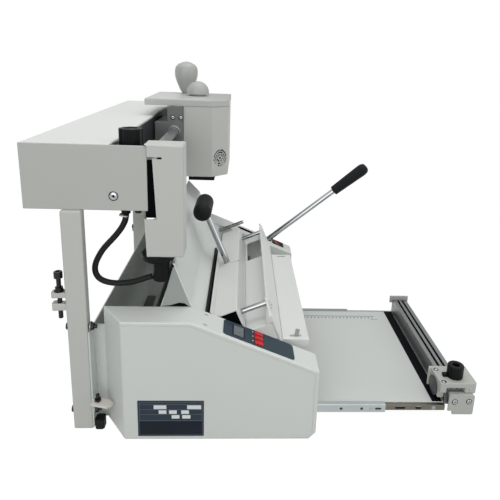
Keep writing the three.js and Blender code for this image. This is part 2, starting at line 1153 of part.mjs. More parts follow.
// slots cut through the angled face, square to it
function ventCut() {
  const reach = headSheet * 3;
  let cut = null;
  for (let index = 0; index < ventSlots; index += 1) {
    const away = Math.abs(index - (ventSlots - 1) / 2) / ((ventSlots - 1) / 2);
    const half = (ventWidth / 2) * (1 - away * away * 0.45);
    const low = ventLow + ventPitch * (index - (ventSlots - 1) / 2);
    const slot = box(-half, half, -reach, reach, low - ventSlot / 2, low + ventSlot / 2);
    cut = cut ? cut.add(slot) : slot;
  }
  const place = new THREE.Matrix4().makeRotationZ(Math.PI / 4);
  place.setPosition(headFront - headChamfer / 2, headNear + headChamfer / 2, headBottom);
  return moved(cut, place);
}

function headShell() {
  const outside = prismZ(headPlan(0, headBack), headBottom, headTop);
  const inside = prismZ(headPlan(headSheet, headBack), headBottom + headFloor, headTop + overrun);
  const spindle = roundZ(
    motorX,
    motorY,
    shaftRadius + headSheet,
    headBottom - overrun,
    headBottom + headFloor + overrun,
    medium,
  );
  return outside.subtract(inside).subtract(spindle).subtract(ventCut());
}

function headLid() {
  const outside = prismZ(headPlan(-lidOver, lidBack), headTop, lidTop - lidRound);
  const crown = prismZ(headPlan(lidRound - lidOver, lidBack), lidTop - lidRound - overrun, lidTop);
  const inside = prismZ(headPlan(lidSheet, lidBack), headTop - overrun, lidTop - lidSheet - lidRound);
  const land = prismZ(headPlan(-lidOver / 2, headBack), headTop, headTop + lidSheet);
  const landRoom = prismZ(headPlan(headSheet, headBack), headTop - overrun, headTop + lidSheet + overrun);
  const rim = land.subtract(landRoom);
  const shell = union(outside, crown).subtract(inside);
  let solid = union(shell, rim);
  for (const [x, y] of [
    [handleX, handleY],
    [knobX, knobY],
  ]) {
    solid = solid.subtract(roundZ(x, y, gripStem + boreGap, headTop, lidTop + overrun, medium));
  }
  return solid;
}

function headBearing() {
  const near = headNear - bearingLead;
  const right = headBack - seat;
  const block = box(bearingBack, right, near, near + bearingLength, bearingLow, bearingHigh);
  const bore = roundY(
    rodX,
    rodZ,
    rodRadius + boreGap,
    near - overrun,
    near + bearingLength + overrun,
    fine,
  );
  const bracket = box(bracketBack, right, near, near + bracketThick, bearingHigh - overrun, headTop - seat);
  const flange = box(
    right - flangeThick,
    right,
    near,
    near + bearingLength,
    flangeBottom,
    headTop - seat,
  );
  return union(block, bracket, flange).subtract(bore);
}

function headHandle() {
  const pearShares = [
    [0.4, 0.03],
    [0.57, 0.13],
    [0.65, 0.2],
    [0.785, 0.317],
    [0.91, 0.44],
    [0.985, 0.56],
    [1, 0.69],
    [0.97, 0.77],
    [0.91, 0.835],
    [0.8, 0.885],
    [0.645, 0.927],
    [0.35, 0.976],
  ];
  const profile = [
    [0, -lidSheet * 2],
    [gripStem, -lidSheet * 2],
    [gripStem, seat],
    [handleNeck, seat],
  ];
  for (const [wide, high] of pearShares) {
    profile.push([handleRadius * wide, handleHeight * high]);
  }
  profile.push([0, handleHeight]);
  return turned(handleX, handleY, lidTop, profile);
}

function headKnob() {
  const low = Math.max(knobHeight - knobRadius, collarHeight + seat);
  const rise = knobHeight - low;
  const profile = [
    [0, -lidSheet * 2],
    [gripStem, -lidSheet * 2],
    [gripStem, seat],
    [collarRadius, seat],
    [collarRadius, collarHeight],
    [knobRadius * 0.9, collarHeight],
    [knobRadius, low],
  ];
  for (let step = 1; step < 8; step += 1) {
    const angle = (Math.PI / 2) * (step / 8);
    profile.push([knobRadius * Math.cos(angle), low + rise * Math.sin(angle)]);
  }
  profile.push([0, knobHeight]);
  return turned(knobX, knobY, lidTop, profile);
}

function headMotor() {
  const base = headBottom + headFloor;
  const can = roundZ(motorX, motorY, motorRadius, base + motorCap, base + motorHeight, medium);
  const cap = roundZ(motorX, motorY, motorRadius - motorCap, base, base + motorCap + overrun, medium);
  const rear = roundZ(
    motorX,
    motorY,
    motorRadius * 0.6,
    base + motorHeight - overrun,
    base + motorHeight + motorCap * 2,
    medium,
  );
  return union(can, cap, rear);
}

function cutterGuard() {
  const low = headBottom - cutterGuardHeight;
  const near = headNear + cutterGuardLead;
  const body = prismZ(
    rounded(
      [
        [cutterGuardBack, near],
        [cutterGuardFront, near],
        [cutterGuardFront, near + cutterGuardLength],
        [cutterGuardBack, near + cutterGuardLength],
      ],
      cutterTooth,
      3,
    ),
    low,
    headBottom,
  );
  const room = roundZ(
    motorX,
    motorY,
    cutterRadius + cutterRoom,
    low - overrun,
    low + cutterThick + cutterRoom,
    fine,
  );
  const passage = roundZ(motorX, motorY, shaftRadius + headSheet, low, headBottom + overrun, medium);
  return body.subtract(room).subtract(passage);
}

function cutterDisc() {
  const low = headBottom - cutterGuardHeight + cutterRoom / 3;
  const points = [];
  for (let tooth = 0; tooth < cutterTeeth; tooth += 1) {
    const start = (Math.PI * 2 * tooth) / cutterTeeth;
    const pitch = (Math.PI * 2) / cutterTeeth;
    for (const [turnShare, reach] of [
      [0, cutterRadius],
      [0.2, cutterRadius - cutterTooth],
      [0.6, cutterRadius - cutterTooth * 0.7],
      [0.9, cutterRadius],
    ]) {
      const angle = start + pitch * turnShare;
      points.push([motorX + reach * Math.cos(angle), motorY + reach * Math.sin(angle)]);
    }
  }
  const disc = prismZ(points, low, low + cutterThick);
  const hub = roundZ(motorX, motorY, shaftRadius, low, headBottom + headFloor - seat, coarse);
  return union(disc, hub);
}

add("head_shell", headShell(), paint);
add("head_lid", headLid(), paint);
add("head_bearing", headBearing(), castGrey);
add("head_handle", headHandle(), greyPlastic);
add("head_knob", headKnob(), greyPlastic);
add("head_motor", headMotor(), steel);
add("cutter_guard", cutterGuard(), blackPlastic);
add("cutter_disc", cutterDisc(), steel);

// back plate

// the sheet's lowest run lies behind the jaw lip, in the clamp's frame
function plateCorners() {
  const lipBack = jawBack - lipGap - lipThick - seat;
  return [
    [plateTopX, plateTopZ],
    [plateBendX, plateBendZ],
    [plateFootX, plateFootZ],
    leanedPoint(lipBack, lipHigh - plateToe),
    leanedPoint(lipBack, -lipLow),
  ];
}

// one side of the bent sheet, offset square to each run, with its bends rounded
function plateLine(offset) {
  const corners = plateCorners().map(([x, z]) => new THREE.Vector2(x, z));
  const last = corners.length - 1;
  const line = corners.map((here, index) => {
    const before = corners[Math.max(index - 1, 0)];
    const start = corners[Math.min(index, last - 1)];
    const after = corners[Math.min(index + 1, last)];
    const incoming = index > 0 ? here.clone().sub(before) : after.clone().sub(here);
    const outgoing = index < last ? after.clone().sub(start) : incoming.clone();
    incoming.normalize();
    outgoing.normalize();
    const first = new THREE.Vector2(incoming.y, -incoming.x);
    const second = new THREE.Vector2(outgoing.y, -outgoing.x);
    const middle = first.clone().add(second).normalize();
    const reach = offset / middle.dot(first);
    return [here.x + middle.x * reach, here.y + middle.y * reach];
  });
  const radii = [
    0,
    plateBendRound - offset,
    plateFootRound + offset,
    plateToeRound - offset,
    0,
    0,
    0,
  ];
  const low = [0, line[last][1]];
  const high = [0, line[0][1]];
  return rounded([...line, low, high], radii, 5);
}

function plateBehind(offset, near, far) {
  return prismY(plateLine(offset), near, far);
}

function backPlate() {
  const near = housingWidth + seat;
  const far = farInner - seat;
  const face = plateLine(0).slice(0, -2);
  const back = plateLine(plateThick).slice(0, -2);
  const plate = prismY([...face, ...back.slice().reverse()], near, far);
  const gusset = [
    [plateBendX, plateBendZ],
    [plateFootX, plateFootZ],
    [gussetFrontX, gussetLowZ],
    [gussetLowX, gussetLowZ],
    [gussetBackX, gussetBackZ],
  ];
  const behind = plateBehind(plateThick / 2, near, far);
  const gussets = [near, far - gussetThick].map((y) => {
    return prismY(gusset, y, y + gussetThick).intersect(behind);
  });
  const notch = box(
    0,
    plateBendX + plateThick,
    near - overrun,
    near + plateNotchWidth,
    plateBendZ + plateNotchLift,
    plateTopZ + overrun,
  );
  return union(plate, ...gussets).subtract(notch);
}

add("back_plate", backPlate(), paint);

// clamp

function jawLip() {
  const front = jawBack - lipGap;
  return leaned(box(front - lipThick, front, clampNear, lipFar, -lipLow, lipHigh));
}

function clampJaw() {
  const low = -jawDrop;
  const outside = box(jawBack, jawFront, clampNear, clampFar, low, 0);
  const inside = box(
    jawBack + jawSheet,
    jawFront - jawSheet,
    clampNear - overrun,
    clampFar + overrun,
    low - overrun,
    -jawSheet,
  );
  let solid = outside.subtract(inside);
  for (const y of [nearPinY, farPinY]) {
    const bore = roundX(y, -pinDrop, pinRadius + boreGap, jawBack - overrun, jawFront + overrun, fine);
    solid = solid.subtract(bore);
  }
  return leaned(solid);
}

function jawStrip() {
  return leaned(box(stripBack, stripBack + stripThick, clampNear, stripFar, 0, stripHeight));
}

function guidePin(y) {
  return leaned(roundX(y, -pinDrop, pinRadius, pinBack, pinFront, fine));
}

function stopRod() {
  const rod = leaned(roundX(stopY, stopLift, stopRadius, -stopBack, stopFront, medium));
  return rod.subtract(plateBehind(-seat, 0, overallWidth));
}

function frontBar() {
  const near = housingWidth + seat;
  const far = farInner - seat;
  const points = [
    [near, -barLow],
    [far, -barLow],
    [far, -barHigh - barCorner],
    [far - barCorner, -barHigh],
    [near + barCorner, -barHigh],
    [near, -barHigh - barCorner],
  ];
  let solid = prismX(points, barBack, barBack + barThick);
  for (const y of [nearPinY, farPinY]) {
    const tab = prismX(
      rounded(
        [
          [y - tabWidth / 2, -pinDrop - tabDrop / 2],
          [y + tabWidth / 2, -pinDrop - tabDrop / 2],
          [y + tabWidth / 2, -barHigh + tabRise],
          [y - tabWidth / 2, -barHigh + tabRise],
        ],
        tabWidth / 4,
        3,
      ),
      barBack,
      barBack + barThick + tabThick,
    );
    const bore = roundX(
      y,
      -pinDrop,
      pinRadius + boreGap,
      barBack - overrun,
      barBack + barThick + tabThick + overrun,
      fine,
    );
    solid = union(solid, tab).subtract(bore);
  }
  const foot = -bedTop + seat;
  const top = -barHigh - barGussetTop;
  const gusset = prismY(
    [
      [barBack, top],
      [barBack - barGussetStep, top - barGussetFall],
      [barBack - barGussetBack, foot],
      [barBack, foot],
    ],
    near,
    near + bedThick,
  );
  return leaned(union(solid, gusset));
}

function shelfBack() {
  const lowFront = leanedPoint(barBack + barThick, -barLow);
  const highFront = leanedPoint(barBack + barThick, -barHigh);
  const share = (shelfTop - lowFront[1]) / (highFront[1] - lowFront[1]);
  return Math.max(lowFront[0], lowFront[0] + (highFront[0] - lowFront[0]) * share) + seat;
}

function frontShelf() {
  const back = shelfBack();
  const front = back + shelfDepth;
  const outside = box(back, front, shelfNear, shelfFar, shelfTop - shelfLip, shelfTop);
  const inside = box(
    back - overrun,
    front - shelfSheet,
    shelfNear + shelfSheet,
    shelfFar - shelfSheet,
    shelfTop - shelfLip - overrun,
    shelfTop - shelfSheet,
  );
  let solid = outside.subtract(inside);
  for (const y of [shelfNear + shelfSlotInset, shelfFar - shelfSlotInset - shelfSlotWidth]) {
    const x = back + (shelfDepth - shelfSlotLength) / 2;
    const slot = box(
      x,
      x + shelfSlotLength,
      y,
      y + shelfSlotWidth,
      shelfTop - shelfSheet * 2,
      shelfTop + overrun,
    );
    solid = solid.subtract(slot);
  }
  return solid;
}

function clampBed() {
  const near = housingWidth + seat;
  const far = farInner - seat;
  const front = barBack - seat;
  const plate = box(bedBack, front, near, far, -bedTop - bedThick, -bedTop);
  const window = box(
    jawFront + bedWindowEdge,
    front - bedWindowEdge,
    bedWindowNear,
    bedWindowFar,
    -bedTop - bedThick - overrun,
    -bedTop + overrun,
  );
  const ribNear = bedWindowNear - bedThick;
  const rib = box(
    jawFront + bedRibGap,
    front,
    ribNear,
    bedWindowNear,
    -bedTop - bedThick,
    -bedTop + bedRib,
  );
  const flange = box(
    bedFlangeBack,
    front,
    near,
    near + bedThick,
    -bedTop - bedThick - bedFlangeDrop,
    -bedTop,
  );
  return leaned(union(plate.subtract(window), rib, flange));
}

add("jaw_lip", jawLip(), rubber);
add("clamp_jaw", clampJaw(), lightPaint);
add("jaw_strip", jawStrip(), lightPaint);
add("near_guide_pin", guidePin(nearPinY), chrome);
add("far_guide_pin", guidePin(farPinY), chrome);
add("stop_rod", stopRod(), chrome);
add("front_bar", frontBar(), lightPaint);
add("front_shelf", frontShelf(), lightPaint);
add("clamp_bed", clampBed(), lightPaint);

// tee handle

function teeStem() {
  const stem = roundZ(teeU, teeY, teeRadius, 0, teeLength - gripRadius + teeRadius / 2, coarse);
  const foot = roundZ(teeU, teeY, teeFoot, 0, teeFootHeight, coarse);
  return leaned(union(stem, foot));
}

function teeGrip() {
  const half = gripLength / 2;
  const end = gripRadius * gripEndShare;
  const profile = [[0, -half]];
  for (let step = 1; step <= 4; step += 1) {
    const angle = (Math.PI / 2) * (step / 4);
    profile.push([gripRadius * Math.sin(angle), -half + end * (1 - Math.cos(angle))]);
  }
  for (let step = 0; step < 4; step += 1) {
    const angle = (Math.PI / 2) * (step / 4);
    profile.push([gripRadius * Math.cos(angle), half - end + end * Math.sin(angle)]);
  }
  profile.push([0, half]);
  const upright = turned(0, 0, 0, profile, fine);
  const place = new THREE.Matrix4().makeRotationX(-Math.PI / 2);
  place.setPosition(teeU, teeY, teeLength);
  const socket = roundZ(
    teeU,
    teeY,
    teeRadius + boreGap,
    teeLength - gripRadius * 2,
    teeLength - gripRadius + teeRadius / 2 + seat,
    coarse,
  );
  return leaned(moved(upright, place).subtract(socket));
}

add("tee_stem", teeStem(), chrome);
add("tee_grip", teeGrip(), blackPlastic);

// long lever, made lying along +X from its pivot and then turned up

const leverMatrix = new THREE.Matrix4().makeRotationY(-THREE.MathUtils.degToRad(leverTilt));
leverMatrix.setPosition(pivotX, leverNear, pivotZ);

function leverArm() {
  const hub = roundY(0, 0, hubRadius, 0, hubWidth, medium);
  const bore = roundY(0, 0, camShaftRadius + boreGap, -overrun, hubWidth + overrun, medium);
  const rod = roundX(hubWidth / 2, 0, leverRadius, hubRadius / 2, leverReach, medium);
  return moved(union(hub, rod).subtract(bore), leverMatrix);
}

function leverGrip() {
  const stations = [
    [0, 0.96],
    [0.04, 1],
    [0.82, 1],
    [0.93, 0.86],
    [0.98, 0.6],
    [1, 0.3],
  ];
  const rings = stations.map(([alongShare, wideShare]) => {
    const bulk = Math.min(1, alongShare / 0.82);
    const radius = (leverGripNear + (leverGripFar - leverGripNear) * bulk) * wideShare;
    const depth = alongShare > 0.03 && alongShare < 0.9 ? leverGripFlute : 0;
    const x = leverReach + seat + leverGripLength * alongShare;
    const circle = flutedRing(hubWidth / 2, 0, radius, leverGripFlutes, depth, 2);
    return circle.map(([y, z]) => [x, y, z]);
  });
  const positions = [];
  const index = [];
  for (const circle of rings) {
    for (const point of circle) {
      positions.push(...point);
    }
  }
  const count = rings[0].length;
  for (let row = 0; row < rings.length - 1; row += 1) {
    for (let step = 0; step < count; step += 1) {
      const a = row * count + step;
      const b = row * count + ((step + 1) % count);
      index.push(a, b, a + count, b, b + count, a + count);
    }
  }
  const firstCentre = positions.length / 3;
  positions.push(rings[0][0][0], hubWidth / 2, 0);
  positions.push(rings[rings.length - 1][0][0], hubWidth / 2, 0);
  for (let step = 0; step < count; step += 1) {
    const next = (step + 1) % count;
    const last = (rings.length - 1) * count;
    index.push(firstCentre, next, step);
    index.push(firstCentre + 1, last + step, last + next);
  }
  const geometry = new THREE.BufferGeometry();
  geometry.setAttribute("position", new THREE.Float32BufferAttribute(positions, 3));
  geometry.setIndex(index);
  return moved(toSolid(geometry), leverMatrix);
}

function camShaft() {
  const near = camShaftEnd;
  const far = machineWidth + overrun;
  let solid = roundY(pivotX, pivotZ, camShaftRadius, near, far, medium);
  for (const y of [nearCamY, farCamY]) {
    solid = solid.add(roundY(pivotX + camThrow, pivotZ, camRadius, y, y + camWidth, medium));
  }
  return solid;
}

add("lever_arm", leverArm(), chrome);
add("lever_grip", leverGrip(), blackPlastic);
add("cam_shaft", camShaft(), steel);

// glue pot and roller

function gluePot() {
  const near = housingWidth + seat;
  const far = farInner - seat;
  const outside = box(potBack, potFront, near, far, potLow, potHigh);
  const inside = box(
    potBack + potWall,
    potFront - potWall,
    near + potEnd,
    far - potEnd,
    potLow + potWall,
    potHigh + overrun,
  );
  const bore = roundY(rollerX, rollerZ, rollerShaft + boreGap, near - overrun, far + overrun, medium);
  return outside.subtract(inside).subtract(bore);
}

function glueRoller() {
  const near = housingWidth + seat;
  const far = farInner - seat;
  const shaft = roundY(rollerX, rollerZ, rollerShaft, near + seat, far - seat, medium);
  const drumNear = near + potEnd + slideGap;
  const drumFar = far - potEnd - slideGap;
  const drum = roundY(rollerX, rollerZ, rollerRadius, drumNear, drumFar, fine);
  return union(shaft, drum);
}

add("glue_pot", gluePot(), castGrey);
add("glue_roller", glueRoller(), steel);

// control overlay, buttons and rocker

function controlOverlay() {
  const s0 = overlayStart;
  const s1 = overlayStart + overlayLength;
  const y0 = overlayInset;
  const y1 = overlayInset + overlayWidth;
  const panel = prismZ(
    rounded(
      [
        [s0, y0],
        [s1, y0],
        [s1, y1],
        [s0, y1],
      ],
      overlayRound,
    ),
    overlayFilm,
    overlayThick,
  );
  let solid = panel;
  for (let index = 0; index < 3; index += 1) {
    const s = overlayStart + buttonStart;
    const y = buttonY(index);
    const window = box(
      s - buttonGap,
      s + buttonLength + buttonGap,
      y - buttonWidth / 2 - buttonGap,
      y + buttonWidth / 2 + buttonGap,
      -overrun,
      overlayThick + overrun,
    );
    solid = solid.subtract(window);
  }
  return sloped(solid);
}

function button(index) {
  const s = overlayStart + buttonStart;
  const y = buttonY(index);
  const cap = box(
    s,
    s + buttonLength,
    y - buttonWidth / 2,
    y + buttonWidth / 2,
    -buttonSunk,
    overlayThick + buttonRise,
  );
  const collar = box(
    s - sheet,
    s + buttonLength + sheet,
    y - buttonWidth / 2 - buttonGap * 2,
    y + buttonWidth / 2 + buttonGap * 2,
    -buttonSunk - buttonTravel,
    -buttonSunk,
  );
  return sloped(union(cap, collar));
}

// its rocking faces are long in s; the pivot runs along y
function powerRocker() {
  const y = rockerY();
  const low = -rockerBody;
  const s0 = rockerBack();
  const s1 = s0 + rockerLength;
  const middle = (s0 + s1) / 2;
  const points = [
    [s0 + rockerGap * 2, low],
    [s1 - rockerGap * 2, low],
    [s1, 0],
    [s1 - rockerGap, rockerRise - rockerCrown],
    [middle, rockerRise / 2],
    [s0 + rockerGap, rockerRise],
    [s0, 0],
  ];
  return sloped(prismY(points, y, y + rockerWidth));
}

add("control_overlay", controlOverlay(), slate);
add("button_upper", button(2), red);
add("button_middle", button(1), red);
add("button_lower", button(0), red);
add("power_rocker", powerRocker(), red);

// trimming table

function tableBoard() {
  const points = rounded(
    [
      [boardBack, boardNear],
      [boardFront, boardNear],
      [boardFront, boardFar],
      [boardBack, boardFar],
    ],
    [0, boardRound, boardRound, 0],
  );
  return prismZ(points, boardTop - boardThick, boardTop);
}

function cuttingMat() {
  return box(
    matBack,
    matBack + matWidth,
    boardNear + matInset,
    boardFar - matInset,
    boardTop,
    boardTop + matThick,
  );
}

add("table_board", tableBoard(), lightPaint);
add("cutting_mat", cuttingMat(), rubber);

// drawer slides: y runs from the outer member's back towards the board

function slideMember(level, backX, frontX, side) {
  const step = slideStep + slideGap;
  const low = slideLow + level * step;
  const high = slideLow + slideHeight - level * step;
  const from = level * step;
  const to = slideOuterDepth;
  const profile = [
    [from, low],
    [to, low],
    [to, low + slideSheet],
    [from + slideSheet, low + slideSheet],
    [from + slideSheet, high - slideSheet],
    [to, high - slideSheet],
    [to, high],
    [from, high],
  ];
  const near = housingWidth + slideGap;
  const placed = profile.map(([y, z]) => {
    return side > 0 ? [near + y, z] : [slideBack() - y, z];
  });
  if (side < 0) {
    placed.reverse();
  }
  return prismX(placed, backX, frontX);
}

for (const [side, name] of [
  [1, "near"],
  [-1, "far"],
]) {
  add(`${name}_slide_outer`, slideMember(0, slideOuterBack, slideOuterFront, side), zinc);
  add(`${name}_slide_mid`, slideMember(1, slideMidBack, slideMidFront, side), zinc);
  add(`${name}_slide_inner`, slideMember(2, slideInnerBack, slideInnerFront, side), zinc);
}

// slotted rail

function railProfile() {
  const x0 = railBack;
  const x1 = railBack + railDepth;
  const z0 = boardTop - boardThick;
  const z1 = railTop;
  const groove = railGroove / 2;
  const inner = railGrooveDepth;
  const first = x0 + railGrooveTopInset;
  const second = x1 - railGrooveTopInset;
  const middle = (z0 + z1) / 2;
  return [
    [x0, z0],
    [x1, z0],
    [x1, middle - groove],
    [x1 - inner, middle - groove],
    [x1 - inner, middle + groove],
    [x1, middle + groove],
    [x1, z1],
    [second + groove, z1],
    [second + groove, z1 - inner],
    [second - groove, z1 - inner],
    [second - groove, z1],
    [first + groove, z1],
    [first + groove, z1 - inner],
    [first - groove, z1 - inner],
    [first - groove, z1],
    [x0, z1],
  ];
}

function railExtrusion() {
  const body = prismY(railProfile(), railNear, railFar);
  const bore = roundY(
    railBack + railDepth / 2,
    (boardTop - boardThick + railTop) / 2,
    railBore,
    railNear - overrun,
    railFar + overrun,
    coarse,
  );
  return body.subtract(bore);
}

function farBracket() {
  const near = railFar + seat;
  const back = railBack - farBracketLead;
  const plate = box(
    back,
    back + farBracketLength,
    near,
    near + farBracketThick,
    railTop - farBracketStem,
    railTop + farBracketRise,
  );
  const stem = box(
    railBack,
    railBack + farBracketStem,
    near,
    near + farBracketThick,
    slideLow,
    railTop - farBracketStem + overrun,
  );
  return union(plate, stem);
}

function nearBracket() {
  const front = overallDepth - nearBracketInset;
  const back = front - nearBracketLength;
  const points = rounded(
    [
      [back, nearBracketLow],
      [front, nearBracketLow],
      [front, nearBracketHigh],
      [back, nearBracketHigh],
    ],
    nearBracketRound,
  );
  const near = housingWidth + slideGap;
  const notch = box(
    back - overrun,
    back + nearBracketNotch,
    near - overrun,
    near + nearBracketThick + overrun,
    nearBracketLow - overrun,
    nearBracketLow + nearBracketNotchHeight,
  );
  const plate = prismY(points, near, near + nearBracketThick).subtract(notch);
  const foot = box(
    railBack + railDepth / 4,
    railBack + (railDepth * 3) / 4,
    near + nearBracketThick - overrun,
    railNear - seat,
    boardTop - boardThick,
    railTop - railDepth / 2,
  );
  return union(plate, foot);
}

add("rail_extrusion", railExtrusion(), aluminium);
add("rail_far_bracket", farBracket(), aluminium);
add("rail_near_bracket", nearBracket(), aluminium);

// trimmer carriage

function bladeZ() {
  return boardTop + matThick + seat + bladeRadius;
}

function carriageBlock() {
  const far = carriageNear + carriageLength;
  const cheekNear = railNear + sheet;
  const railFront = railBack + railDepth + slideGap;
  const plan = [
    [carriageBack, carriageNear],
    [overallDepth, carriageNear],
    [overallDepth, far],
    [carriageBack, far],
  ];
  const body = prismZ(rounded(plan, carriageRound), nearBracketHigh + slideGap, carriageHigh);
  const skirt = box(railFront, railFront + skirtThick, cheekNear, far, carriageLow, carriageHigh);
  const cheek = box(
    carriageBack,
    railBack - slideGap,
    cheekNear,
    far - carriageRound,
    carriageLow,
    carriageHigh - carriageRound,
  );
  const railRoom = box(
    railBack - slideGap,
    railFront,
    0,
    far + overrun,
    0,
    railTop + slideGap,
  );
  const bladeFront = bladeX + bladeThick + bladeRoom;
  const bladeRecess = box(
    carriageBack - overrun,
    bladeFront,
    0,
    bladeY + bladeRadius + bladeRoom,
    0,
    carriageHigh + overrun,
  );
  const axle = roundX(bladeY, bladeZ(), bladeAxle + boreGap, bladeX, railBack, coarse);
  const knobHole = roundZ(
    trimKnobX,
    trimKnobY,
    trimStem + boreGap,
    railTop,
    carriageHigh + overrun,
    coarse,
  );
  const block = union(body, skirt, cheek).subtract(railRoom).subtract(bladeRecess);
  return block.subtract(axle).subtract(knobHole);
}

function carriageBlade() {
  const z = bladeZ();
  const disc = roundX(bladeY, z, bladeRadius, bladeX, bladeX + bladeThick, fine);
  const hub = roundX(
    bladeY,
    z,
    bladeHub,
    bladeX - bladeRoom / 2,
    bladeX + bladeThick + bladeRoom / 2,
    coarse,
  );
  const axle = roundX(bladeY, z, bladeAxle, bladeX, railBack - slideGap - seat, coarse);
  return union(disc, hub, axle);
}

function trimKnob() {
  const base = carriageHigh + seat;
  const top = base + trimKnobHeight;
  const body = prismZ(
    flutedRing(trimKnobX, trimKnobY, trimKnobRadius, trimKnobFlutes, trimKnobFlute),
    base,
    top - trimKnobFlute,
  );
  const crownRadius = trimKnobRadius - trimKnobFlute * 1.5;
  const crown = roundZ(trimKnobX, trimKnobY, crownRadius, top - trimKnobFlute * 2, top);
  const stem = roundZ(trimKnobX, trimKnobY, trimStem, railTop + slideGap + seat, base + overrun, coarse);
  return union(body, crown, stem);
}

add("trim_carriage", carriageBlock(), aluminium);
add("trim_blade", carriageBlade(), steel);
add("trim_knob", trimKnob(), blackPlastic);

export default part;
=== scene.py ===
import json
import math

import bmesh
import bpy
from mathutils import Matrix, Vector

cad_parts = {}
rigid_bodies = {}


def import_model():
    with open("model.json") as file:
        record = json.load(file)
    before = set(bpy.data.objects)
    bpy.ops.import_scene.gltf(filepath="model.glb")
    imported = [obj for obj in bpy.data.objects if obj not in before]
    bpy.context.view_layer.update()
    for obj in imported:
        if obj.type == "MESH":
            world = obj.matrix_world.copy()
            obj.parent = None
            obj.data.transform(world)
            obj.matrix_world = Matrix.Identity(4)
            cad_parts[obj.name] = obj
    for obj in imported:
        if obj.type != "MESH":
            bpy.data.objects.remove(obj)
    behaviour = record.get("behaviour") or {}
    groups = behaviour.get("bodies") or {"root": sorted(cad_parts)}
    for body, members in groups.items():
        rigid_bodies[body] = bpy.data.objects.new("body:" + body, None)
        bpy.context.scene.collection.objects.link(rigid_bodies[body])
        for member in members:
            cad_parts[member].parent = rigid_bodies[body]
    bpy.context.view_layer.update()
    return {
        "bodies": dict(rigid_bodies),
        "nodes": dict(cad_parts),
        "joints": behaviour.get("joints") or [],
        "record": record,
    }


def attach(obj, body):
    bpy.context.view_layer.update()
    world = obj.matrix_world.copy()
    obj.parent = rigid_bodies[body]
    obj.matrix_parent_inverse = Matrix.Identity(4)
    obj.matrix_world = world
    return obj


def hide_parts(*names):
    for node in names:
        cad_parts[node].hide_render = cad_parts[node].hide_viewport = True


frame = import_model()
nodes = frame["nodes"]
bodyOf = {node: body for body, members in frame["record"]["behaviour"]["bodies"].items() for node in members}
print("frame loaded,", len(nodes), "nodes")

# places are in millimetres: x from the back of the beam, y from the near housing's face, z from the floor
machine = {"middleX": 317, "middleY": 320, "width": 480.5}
clamp = {"x": 235, "z": 158, "lean": 22.5}
slope = {"x": 212, "z": 178.7, "fall": 71.9, "run": 173.4}
lever = {"x": 291.2, "y": 456, "z": 93.3, "tilt": 39.4}

millimetre = 0.001
upright = Matrix.Scale(millimetre, 4) @ Matrix.Translation((-machine["middleX"], -machine["middleY"], 0))


def spot(x, y, z):
    return upright @ Matrix.Translation((x, y, z))


def shifted(where, a, b, c):
    return where @ Matrix.Translation((a, b, c))


def turnY(angle):
    return Matrix.Rotation(angle, 4, "Y")


# the clamp's frame: u forward and up, y across, w square to the jaw
clampPlace = spot(clamp["x"], 0, clamp["z"]) @ turnY(-math.radians(clamp["lean"]))
# the slope's frame: s down the housing, y across, h above it
slopePlace = spot(slope["x"], 0, slope["z"]) @ turnY(math.atan2(slope["fall"], slope["run"]))
leverPlace = spot(lever["x"], lever["y"], lever["z"]) @ turnY(-math.radians(lever["tilt"]))
# these lay a piece made along its local z down along x or y
alongX = Matrix(((0, 0, 1, 0), (1, 0, 0, 0), (0, 1, 0, 0), (0, 0, 0, 1)))
alongY = Matrix(((0, 1, 0, 0), (0, 0, 1, 0), (1, 0, 0, 0), (0, 0, 0, 1)))
halfTurn = Matrix.Rotation(math.pi, 4, "X")
backX = alongX @ halfTurn
backY = alongY @ halfTurn
# these stand an outline up: a along x and b up, with c towards the far or the near side
flatFar = Matrix(((1, 0, 0, 0), (0, 0, 1, 0), (0, 1, 0, 0), (0, 0, 0, 1)))
flatNear = Matrix(((1, 0, 0, 0), (0, 0, -1, 0), (0, 1, 0, 0), (0, 0, 0, 1)))
farFace = upright @ flatFar
nearFace = upright @ flatNear


def linked(name, data):
    made = bpy.data.objects.new(name, data)
    bpy.context.scene.collection.objects.link(made)
    return made


# camera

viewer = {
    "place": (273.537, -603.263, 515.202),
    "right": (0.99814, -0.04784, 0.03766),
    "down": (0.02392, -0.26064, -0.96514),
    "ahead": (0.05599, 0.96425, -0.25901),
    "settings": {"sensor_width": 36, "lens": 37.003, "shift_x": -0.0402, "shift_y": -0.1099,
                 "clip_start": 0.05, "clip_end": 30},
}


def setCamera():
    camera = bpy.data.cameras.new("camera")
    for key, value in viewer["settings"].items():
        setattr(camera, key, value)
    holder = linked("camera", camera)
    place, right, down, ahead = (Vector(viewer[key]) for key in ("place", "right", "down", "ahead"))
    turn = Matrix((right, -down, -ahead)).transposed().to_4x4()
    holder.matrix_world = Matrix.Translation(upright @ place) @ turn
    bpy.context.scene.camera = holder


setCamera()
print("camera set")


# materials

def tone(text):
    parts = [int(text[index:index + 2], 16) / 255 for index in (1, 3, 5)]
    linear = [part / 12.92 if part <= 0.04045 else ((part + 0.055) / 1.055) ** 2.4 for part in parts]
    return (*linear, 1)


def shade(colour, share):
    return (colour[0] * share, colour[1] * share, colour[2] * share, 1)


class Wire:
    def __init__(self, surface, socket):
        self.surface = surface
        self.socket = socket

    def sum(self, operation, other):
        return self.surface.node("ShaderNodeMath", {0: self, 1: other}, operation=operation)

    def __add__(self, other):
        return self.sum("ADD", other)

    def __mul__(self, other):
        return self.sum("MULTIPLY", other)

    __radd__ = __add__


